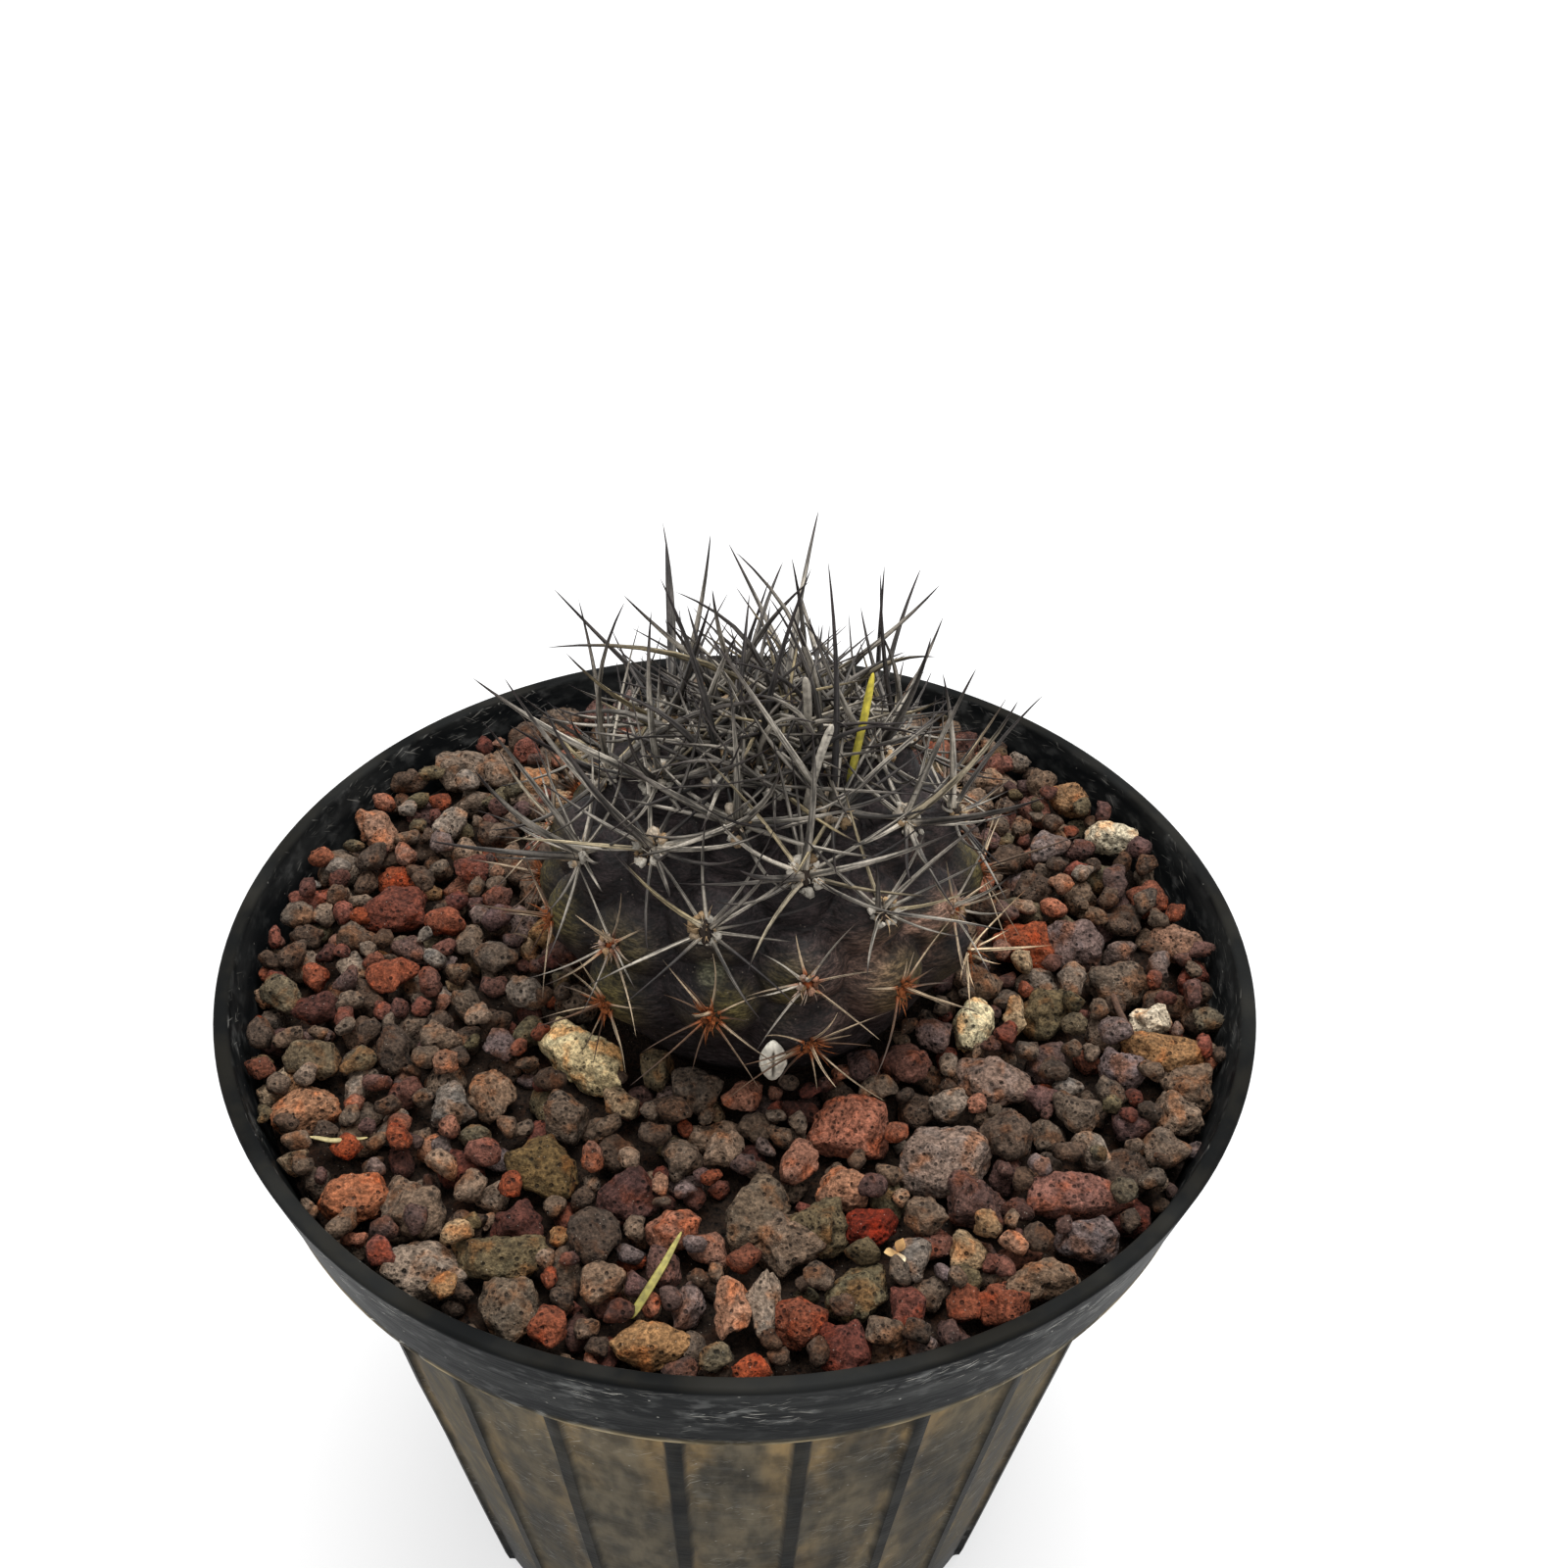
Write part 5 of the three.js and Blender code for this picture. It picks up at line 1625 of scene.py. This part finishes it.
    def led(self) -> SpineRows:
        """The leading spines."""
        ribs, places, latitudes, facings = self.stem.areoles()
        rows = np.array(self.leading)
        rib, row, tip, bow = rows[:, 0], rows[:, 1], rows[:, 2:5], rows[:, 5]
        which = ((ribs == rib[:, None]) & (places == row[:, None])).argmax(axis=1)
        same = (rib[:, None] == rib) & (row[:, None] == row)
        number = np.tril(same, -1).sum(axis=1)
        radius = np.full(len(rows), self.central_radius[1]) * (0.95 + 0.2 * draw(rib, number, 9))
        return SpineRows(rib, row, latitudes[which], facings[which], number, tip, bow, radius)

    def above_ground(self, points: Array) -> Array:
        """Points near the ground are pressed up towards a floor: z = floor + s exp((z - floor) / s - 1)."""
        excess = (points[..., 2] - self.floor) / self.floor_softness
        pressed = self.floor + self.floor_softness * np.exp(np.minimum(excess, 1) - 1)
        z = np.where(excess < 1, pressed, points[..., 2])
        return np.concatenate([points[..., :2], z[..., None]], axis=-1)

    def build(self) -> Object:
        """All spines in one piece.

        Returns:
            The piece, with its stored tint and the course of its grain.
        """
        rows = self.by_rule().joined(self.led())
        skin = self.stem.skin(rows.facing, self.stem.lift(rows.facing))
        outward = self.stem.normal(rows.facing)
        along = unit(rows.tip - skin)
        flat = along - outward * (along * outward).sum(axis=1, keepdims=True)
        base = skin + self.set_out * flat
        side = UP + 0.5 * outward
        side = unit(side - along * (side * along).sum(axis=1, keepdims=True))
        across = np.cross(along, side)
        t = np.array([*self.stations, 1.0])[None, :, None]
        arch = 4 * t * (1 - t)
        chord = rows.tip - base
        length = np.linalg.norm(chord, axis=1)
        sway = ((draw(rows.seed, 61) - 0.5) * 0.11 * length)[:, None, None]
        path = base[:, None] + chord[:, None] * t
        path = path + side[:, None] * rows.bow[:, None, None] * arch + across[:, None] * sway * arch
        centres = np.concatenate([(base - self.sunk * outward)[:, None], self.above_ground(path)], axis=1)
        stations = np.array(self.stations)[None]
        bulb = 0.4 * np.exp(-(((stations * length[:, None]) / 0.5) ** 2))
        radii = rows.radius[:, None] * ((1 - stations) ** 0.62 + bulb)
        radii = np.concatenate([radii[:, :1], radii], axis=1)
        points, faces = needles(centres, radii, across, -side, self.sides)
        t = np.append(np.repeat([0.0, *self.stations], self.sides), [0.0, 1.0])[None]
        angle = np.append(np.tile(circle(self.sides), len(self.stations) + 1), [0.0, 0.0])[None]
        tints = self.tints(rows, length, t[..., None]).reshape(-1, 3)
        course = 0.16 * t * length[:, None] + 3.7 * rows.seed[:, None]
        grain = spun(1.0, angle, course).reshape(-1, 3)
        return make_object("spine_clusters", points, faces, tint=tints, grain=grain)

    def tints(self, rows: SpineRows, length: Array, t: Array) -> Array:
        """Grey with dark tips above, with painted shade at the feet of the crown spines, rust and brown with
        straw-coloured ends below.

        Args:
            rows: the spines.
            length: their lengths.
            t: the share of the length at which each point of a spine lies, (1, points, 1).

        Returns:
            A colour for each point, (spines, points, 3).
        """
        own = draw(rows.seed, 64)[:, None, None]
        other = draw(rows.seed, 65)[:, None, None]
        millimetres = t * length[:, None, None]
        grey = mix(HornTone.DARK_GREY.light, HornTone.PALE_GREY.light, own**1.5)
        grey = mix(grey, HornTone.STRAW.light, 0.7 * smoothstep(other, 0.88, 0.97))
        upper = mix(grey, HornTone.DARK_TIP.light, smoothstep(t, mix(0.3, 0.6, other), 0.92))
        upper = mix(upper, HornTone.PALE_FOOT.light, 0.5 * (1 - smoothstep(millimetres, 0.3, 2.0)))
        # Painted shade: the spines of the crown are darker towards their feet, deep in the crown.
        buried = smoothstep(rows.latitude[:, None, None], 50, 64)
        upper = upper * mix(1, mix(0.3, 1, smoothstep(t, 0.0, 0.6)), buried)
        shaft = mix(HornTone.BONE.light, HornTone.BROWN.light, smoothstep(own, 0.3, 0.6))
        lower = mix(HornTone.RUST.light, shaft, smoothstep(millimetres, 0.2, 1.4))
        browned = smoothstep(t, 0.4, 0.9) * smoothstep(other, 0.3, 0.7)
        lower = mix(lower, HornTone.BROWN_TIP.light, browned)
        share = smoothstep(rows.latitude[:, None, None] + 14 * (own - 0.5), 13, 26)
        colour = mix(lower, upper, share)
        rib, row = self.pale_areole
        pale = ((rows.rib == rib) & (rows.row == row))[:, None, None]
        cream = mix(HornTone.CREAM.light, HornTone.TAN_TIP.light, smoothstep(t, 0.5, 1.0))
        return np.where(pale, cream, colour)


class FeltTone(ScreenColour):
    """The colours of the areoles' felt."""

    GREY = (200, 192, 178)
    TAN = (166, 138, 104)
    RUST = (140, 80, 44)
    OLD_HEART = (176, 88, 44)
    DARK_HEART = (48, 40, 34)


@dataclass(frozen=True)
class Wool:
    """The felt of the areoles: a dark pad in each, a ring of pale knobs round it, and short dried fibres."""

    stem: Stem = Stem()
    knobs: int = 13
    ring: Pair = (1.05, 1.2)
    ring_spread: Pair = (0.82, 1.16)
    knob: Pair = (0.26, 0.6)
    lumpiness: float = 0.9
    growth: Pair = (0.5, 1.35)
    fibres: int = 16
    fibre_length: Pair = (0.8, 2.3)
    fibre_radius: float = 0.06
    fibre_bend: float = 0.9

    def tints(self, latitude: Array, chance: Array) -> Array:
        """Grey-white or tan on the upper areoles, muted rust on the old ones near the ground."""
        upper = mix(FeltTone.GREY.light, FeltTone.TAN.light, smoothstep(chance[..., None], 0.5, 0.85))
        above = smoothstep(latitude + 10 * (chance - 0.5), 12, 27)[..., None]
        return mix(FeltTone.RUST.light, upper, above)

    def rosette(self) -> Object:
        """A ring of lumpy knobs round a dark pad: centre = skin + upward a cos φ + sideways b sin φ."""
        directions, quads = cube_globe(2)
        _, _, latitude, facing = self.stem.areoles()
        outward, upward, sideways = self.stem.axes(facing)
        number = np.arange(len(facing) * (self.knobs + 1))
        which, turn = np.divmod(number, self.knobs + 1)
        pad = turn == self.knobs
        angle = 2 * np.pi * (turn + 0.7 * draw(number, 71)) / self.knobs
        reach = np.where(pad, 0, mix(*self.ring_spread, draw(number, 72)))[:, None]
        grown = mix(*self.growth, smoothstep(latitude, 8, 42))[which]
        knob = mix(*self.knob, draw(number, 73) ** 1.4) * np.sqrt(grown)
        size = np.where(pad, self.ring[0] * grown, knob)
        side = (grown * (self.ring[0] * np.sin(angle)))[:, None]
        rise = (grown * (self.ring[1] * np.cos(angle)))[:, None]
        from_heart = reach * (rise * upward[which] + side * sideways[which])
        spot = unit(facing[which] * self.stem.radius + from_heart)
        proud = np.where(pad, -0.5 * grown, 0.55 * draw(number, 74) * grown)[:, None]
        centre = self.stem.skin(spot, self.stem.lift(spot)) + outward[which] * proud
        lumpy = 1 + self.lumpiness * (draw(number[:, None], np.arange(len(directions)), 75) - 0.5)
        lumps = directions * (size[:, None] * lumpy)[..., None]
        axes = np.stack([sideways, -upward, outward * 0.85], axis=1)[which]
        points = centre[:, None] + np.einsum("kvc,kcx->kvx", lumps, axes)
        faces = [repeated(quads, len(number), len(directions))]
        tints = self.tints(latitude[which], draw(number, 76)) * mix(0.4, 1.1, draw(number, 77))[:, None]
        above = smoothstep(latitude[which], 12, 30)[:, None]
        heart = mix(FeltTone.OLD_HEART.light, FeltTone.DARK_HEART.light, above)
        tints = np.repeat(np.where(pad[:, None], heart, tints), len(directions), axis=0)
        return make_object("areole_felt", points, faces, tint=tints)

    def fuzz(self) -> Object:
        """Dried fibres that stand out of the rosettes: P(t) = foot + heading L t + bend t²."""
        _, _, latitude, facing = self.stem.areoles()
        skin = self.stem.skin(facing, self.stem.lift(facing))
        number = np.arange(len(facing) * self.fibres)
        which = number // self.fibres
        outward, upward, sideways = (axis[which] for axis in self.stem.axes(facing))
        angle = 2 * np.pi * draw(number, 81)[:, None]
        ring = np.cos(angle) * upward + np.sin(angle) * sideways
        foot = skin[which] + ring * (1.2 * np.sqrt(draw(number, 82)))[:, None] + 0.2 * outward
        heading = ring * draw(number, 83)[:, None] + outward * (0.25 + 0.7 * draw(number, 84))[:, None]
        heading = unit(heading)
        length = mix(*self.fibre_length, draw(number, 85) ** 1.5)[:, None, None]
        swirl = np.cross(outward, ring) * (draw(number, 86) - 0.5)[:, None]
        swirl = swirl + ring * (draw(number, 87) - 0.4)[:, None]
        t = np.array([0.0, 0.35, 0.7, 1.0])[None, :, None]
        bend = swirl[:, None] * length * self.fibre_bend
        centres = foot[:, None] + heading[:, None] * length * t + bend * t**2
        radii = self.fibre_radius * np.array([1.0, 0.9, 0.65])[None] * (0.7 + 0.8 * draw(number, 88))[:, None]
        across = unit(np.cross(heading, outward + 0.3 * upward))
        points, faces = needles(centres, radii, across, -np.cross(across, heading), 3)
        tints = self.tints(latitude[which], mix(0.4, 1.0, draw(number, 89)))
        tints = np.repeat(tints * mix(0.7, 1.2, draw(number, 90))[:, None], points.shape[1], axis=0)
        return make_object("areole_fibres", points, faces, tint=tints)


# Loose bits

@dataclass(frozen=True)
class Blade:
    """A dry strip along a curve through three points: its widths, thickness and colours."""

    name: str
    node: str
    slot: str
    route: tuple[Triple, ...]
    width: float
    thickness: float
    colours: tuple[Colour, Colour]
    fold: float = 0.3
    blunt: Pair = (0.3, 0.3)
    least_taper: float = 0.03
    waviness: float = 0.12
    stations: int = 28
    sides: int = 12

    def path(self, t: Array) -> Array:
        """(1 - t)(1 - 2t) A + 4t(1 - t) B + t(2t - 1) C."""
        a, b, c = (np.array(point, dtype=float) for point in self.route)
        t = t[:, None]
        return (1 - t) * (1 - 2 * t) * a + 4 * t * (1 - t) * b + t * (2 * t - 1) * c

    def build(self) -> Object:
        """A flat, slightly folded strip, rounded off at both ends.

        Returns:
            The piece, with its stored tint.
        """
        share = (1 - np.cos(np.linspace(0, np.pi, self.stations))) / 2
        centre = self.path(share)
        along = unit(np.gradient(centre, axis=0))
        chord = unit(centre[-1] - centre[0])
        flat_way = np.array([0.0, 1.0, 0.0]) if abs(chord[2]) > 0.5 else UP
        across = unit(np.cross(along, flat_way))
        over = unit(np.cross(across, along))
        taper = np.clip(np.minimum(share / self.blunt[0], (1 - share) / self.blunt[1]), 0, 1)
        taper = np.sqrt(1 - (1 - taper) ** 2) * (1 - self.least_taper) + self.least_taper
        angle = circle(self.sides)
        wide = np.cos(angle)[None] * (self.width / 2 * taper)[:, None]
        thick = np.sin(angle)[None] * (self.thickness / 2 * taper)[:, None]
        thick = thick + self.fold * np.abs(wide) - self.fold * 0.2
        wave = self.waviness * swells(centre * 0.6 + len(self.name), 3)[:, None]
        points = centre[:, None] + across[:, None] * wide[..., None]
        points = points + over[:, None] * (thick + wave)[..., None]
        ends = np.stack([points[0].mean(axis=0), points[-1].mean(axis=0)])
        faces = [part[:, ::-1] for part in closed_faces(self.stations, self.sides)]
        first, second = (linear(*colour) for colour in self.colours)
        streak = draw(np.arange(self.sides), len(self.name), 91)[None, :, None]
        tone = np.clip(0.6 * share[:, None, None] + 0.4 * streak, 0, 1)
        tints = np.concatenate([mix(first, second, tone).reshape(-1, 3), [first, second]])
        return make_object(self.name, points, faces, ends, tint=tints)


@dataclass(frozen=True)
class LooseBits:
    """The dry bits that lie in the pot and among the spines."""

    stem: Stem = Stem()
    blades: tuple[Blade, ...] = (
        Blade(
            "grass_blade", "crown_grass_blade", "dry_straw",
            ((11.6, -4.6, 123.2), (12.7, -2.6, 128.4), (13.8, 0.2, 134.6)),
            0.85, 0.3, ((44, 56, 18), (206, 188, 66)), 0.3, (0.2, 0.2),
        ),
        Blade(
            "front_straw_blade", "front_straw", "dry_straw",
            ((-4.2, -41.5, 95.2), (-6.3, -46.2, 94.3), (-8.7, -50.2, 92.9)),
            0.9, 0.35, ((158, 148, 80), (112, 104, 40)), 0.3, (0.8, 0.1),
        ),
        Blade(
            "left_straw_blade", "left_straw", "dry_straw",
            ((-44.4, -29.4, 93.6), (-41.4, -30.0, 93.9), (-38.2, -29.2, 93.5)),
            0.6, 0.4, ((196, 182, 134), (150, 134, 84)), 0.1, (0.5, 0.5),
        ),
        Blade(
            "twig_stick", "brown_twig", "dry_twig",
            ((43.8, -4.8, 93.6), (44.4, -8.0, 93.3), (45.6, -11.2, 92.8)),
            0.8, 0.7, ((92, 66, 50), (62, 44, 34)), 0.0, (0.12, 0.12),
        ),
    )
    ribbon_routes: tuple[tuple[Triple, ...], ...] = (
        ((6.4, -1.2, 121.8), (7.1, -1.9, 128.5), (6.7, -2.0, 135.4)),
        ((7.0, -8.6, 120.6), (7.9, -8.2, 127.3), (9.6, -6.2, 132.4)),
    )
    husk_facing: Pair = (4.5, -6.0)
    husk_size: Triple = (1.4, 0.9, 2.9)
    husk_clear: float = 0.35
    # The second colour serves both the painted shade in the slit and the stain.
    husk_colours: tuple[Colour, ...] = ((238, 232, 216), (62, 52, 42))
    flower_place: Triple = (17.4, -42.2, 93.6)
    flower_foot: Colour = (128, 92, 54)
    flower_petals: tuple[tuple[float, float, float, Colour], ...] = (
        (200, 1.6, 0.35, (196, 164, 112)),
        (285, 1.9, 0.15, (232, 222, 186)),
        (60, 1.3, 0.8, (176, 138, 88)),
    )

    def ribbons(self) -> list[Blade]:
        """The two old, blunt, pale spines that stand in the crown."""
        colours = ((104, 98, 92), (172, 164, 150))
        return [
            Blade(
                f"crown_ribbon_{number + 1}", "cactus", "cactus_skin", route,
                0.9, 0.4, colours, 0.2, (0.1, 0.1),
            )
            for number, route in enumerate(self.ribbon_routes)
        ]

    def husk(self) -> Object:
        """The empty white husk: a pointed oval shell with a seam all round and a slit down its front,
        darkened as painted shade.
        """
        directions, quads = cube_globe(16)
        facing = self.stem.direction(*self.husk_facing)
        outward = self.stem.normal(facing)
        skin = self.stem.skin(facing[None], self.stem.lift(facing[None]))[0]
        centre = skin + outward * (self.husk_size[1] + self.husk_clear)
        x, y, z = directions.T
        size = np.array(self.husk_size)
        seam = 1 + 0.07 * np.exp(-((y / 0.12) ** 2))
        slit = np.exp(-((x / 0.11) ** 2)) * smoothstep(-y, 0.2, 0.6) * (1 - smoothstep(np.abs(z), 0.55, 0.8))
        narrow = (1 - 0.22 * z**2) * seam
        local = np.stack([x * size[0] * narrow, y * size[1] * seam * (1 - 0.45 * slit), z * size[2]], axis=-1)
        local = local * (1 + 0.04 * swells(local * 1.8, 4))[:, None]
        x, y = turned(local[:, 0], local[:, 1], np.radians(self.husk_facing[0]))
        points = centre + np.stack([x, y, local[:, 2]], axis=-1)
        stain = smoothstep(swells(local * 1.3, 7), 0.1, 0.7)
        # Painted shade darkens the slit, and a stain darkens the husk in places.
        slit_shade_and_stain = np.clip(0.95 * slit + 0.22 * stain, 0, 1)[:, None]
        pale, dark = (linear(*colour) for colour in self.husk_colours)
        return make_object("husk_shell", points, [quads], tint=mix(pale, dark, slit_shade_and_stain))

    def flower_bit(self) -> Object:
        """Three small dry petals that meet at a foot: each a thin curled oval."""
        directions, quads = cube_globe(7)
        petals, tints = [], []
        x, y, z = directions.T
        along = (x + 1) / 2
        width = 0.6 * np.sin(np.pi * np.clip(0.12 + 0.8 * along, 0, 1))
        for turn, length, rise, end in self.flower_petals:
            curled = rise * length * along + 0.5 * (along - 0.5) ** 2 + 0.35 * (y * width) ** 2
            px, py = turned(length * along * (1 - 0.2 * rise), y * width, np.radians(turn))
            petals.append(np.stack([px, py, curled + 0.13 * z], axis=-1))
            tints.append(mix(linear(*self.flower_foot), linear(*end), along[:, None]))
        points = np.concatenate(petals) + np.array(self.flower_place)
        faces = [repeated(quads, len(petals), len(directions))]
        return make_object("flower_petals", points, faces, tint=np.concatenate(tints))

    def build(self) -> None:
        """Makes and dresses every loose bit and the two ribbons of the crown."""
        dry = FibreFinish("dry_plant", 0.6, 1.4, 0.08).material()
        bark = FibreFinish("twig_bark", 0.85, 2.4, 0.15).material()
        paper = FibreFinish("husk_paper", 0.5, 1.2, 0.05).material()
        spine = FibreFinish("old_spine", 0.6, 2.0, 0.08).material()
        looks = {"dry_straw": dry, "dry_twig": bark, "cactus_skin": spine}
        for blade in (*self.blades, *self.ribbons()):
            finish_piece(blade.build(), looks[blade.slot], blade.node)
        finish_piece(self.husk(), paper, "white_husk")
        finish_piece(self.flower_bit(), dry, "dry_flower_bit")


# Studio

@dataclass(frozen=True)
class Studio:
    """The pale floor, the soft light and the camera, which looks from where the photograph was taken."""

    camera_place: Triple = (4.8, -151.75, 239.51)
    right: Triple = (0.9996, 0.017, 0.0215)
    up: Triple = (-0.0274, 0.6197, 0.7843)
    lens_mm: float = 40.5
    sensor_mm: float = 36.0
    floor_radii: Row = (200.0, 1000.0, 4000.0)
    floor_columns: int = 64
    sky: Triple = (0.985, 0.99, 1.0)
    sky_strength: float = 0.8
    key_place: Triple = (60.0, 160.0, 1000.0)
    key_target: Triple = (0.0, 0.0, 90.0)
    key_size: float = 700.0
    key_watts: float = 10.0

    def floor(self) -> None:
        """A wide disc at height 0, seen from above."""
        rings, columns = len(self.floor_radii), self.floor_columns
        points = spun(np.array(self.floor_radii)[:, None], circle(columns), 0.0)
        faces = [grid_faces(rings, columns), fan_faces(0, columns, rings * columns, False)]
        obj = make_object("floor", points, [part[:, ::-1] for part in faces], [[0, 0, 0]])
        obj.data.materials.append(FloorFinish().material())

    def light(self) -> None:
        """An even pale sky and one wide soft lamp high above, a little behind the pot."""
        world = bpy.data.worlds.new("pale_room")
        world.use_nodes = True
        background = world.node_tree.nodes["Background"]
        background.inputs["Color"].default_value = (*self.sky, 1.0)
        background.inputs["Strength"].default_value = self.sky_strength
        bpy.context.scene.world = world
        lamp = bpy.data.lights.new("window", "AREA")
        lamp.shape, lamp.size, lamp.energy = "DISK", self.key_size * MM, self.key_watts
        obj = bpy.data.objects.new("window", lamp)
        place = np.array(self.key_place)
        away = unit(place - np.array(self.key_target))
        side = unit(np.cross(UP, away))
        self.stand(obj, side, np.cross(away, side), away, place)
        bpy.context.scene.collection.objects.link(obj)

    def camera(self) -> None:
        """The camera, with its axes given outright."""
        right, up = unit(np.array(self.right)), unit(np.array(self.up))
        data = bpy.data.cameras.new("camera")
        data.lens, data.sensor_width = self.lens_mm, self.sensor_mm
        data.clip_start, data.clip_end = 0.01, 20.0
        obj = bpy.data.objects.new("camera", data)
        self.stand(obj, right, up, np.cross(right, up), np.array(self.camera_place))
        bpy.context.scene.collection.objects.link(obj)
        bpy.context.scene.camera = obj

    @staticmethod
    def stand(obj: Object, right: Array, up: Array, back: Array, place: Array) -> None:
        """Places an object by its three axes and its place in millimetres."""
        columns = np.column_stack([right, up, back, place * MM])
        obj.matrix_world = Matrix([*columns.tolist(), [0, 0, 0, 1]])

    def build(self) -> None:
        """Sets up floor, light, camera and a plain view of the colours."""
        self.camera()
        self.light()
        self.floor()
        bpy.context.scene.view_settings.view_transform = "Standard"


def dress_mix() -> None:
    """Gives the solid potting mix its finish."""
    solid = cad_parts["potting_mix"]
    solid.material_slots[0].material = MixFinish().material()
    LOG.info("potting_mix: the solid stays, with its own finish")


def main() -> None:
    """Builds the studio and every piece of the potted cactus, in order."""
    logging.basicConfig(level=logging.INFO, format="%(name)s: %(message)s")
    Studio().build()
    pot = Pot()
    pot.dress(pot.build())
    dress_mix()
    lava = LavaFinish().material()
    large = LargeStones()
    large.build(lava)
    GravelBed().build(lava, [stone for stone, _ in large.stones().values()])
    finish_piece(Stem().build(), SkinFinish().material(), "cactus")
    finish_piece(Spines().build(), SpineFinish().material(), "cactus")
    wool = Wool()
    felt = FibreFinish("felt", 0.95, 3.0, 0.1, 0.2).material()
    finish_piece(wool.rosette(), felt, "cactus")
    finish_piece(wool.fuzz(), felt, "cactus")
    LooseBits().build()


if __name__ == "__main__":
    main()
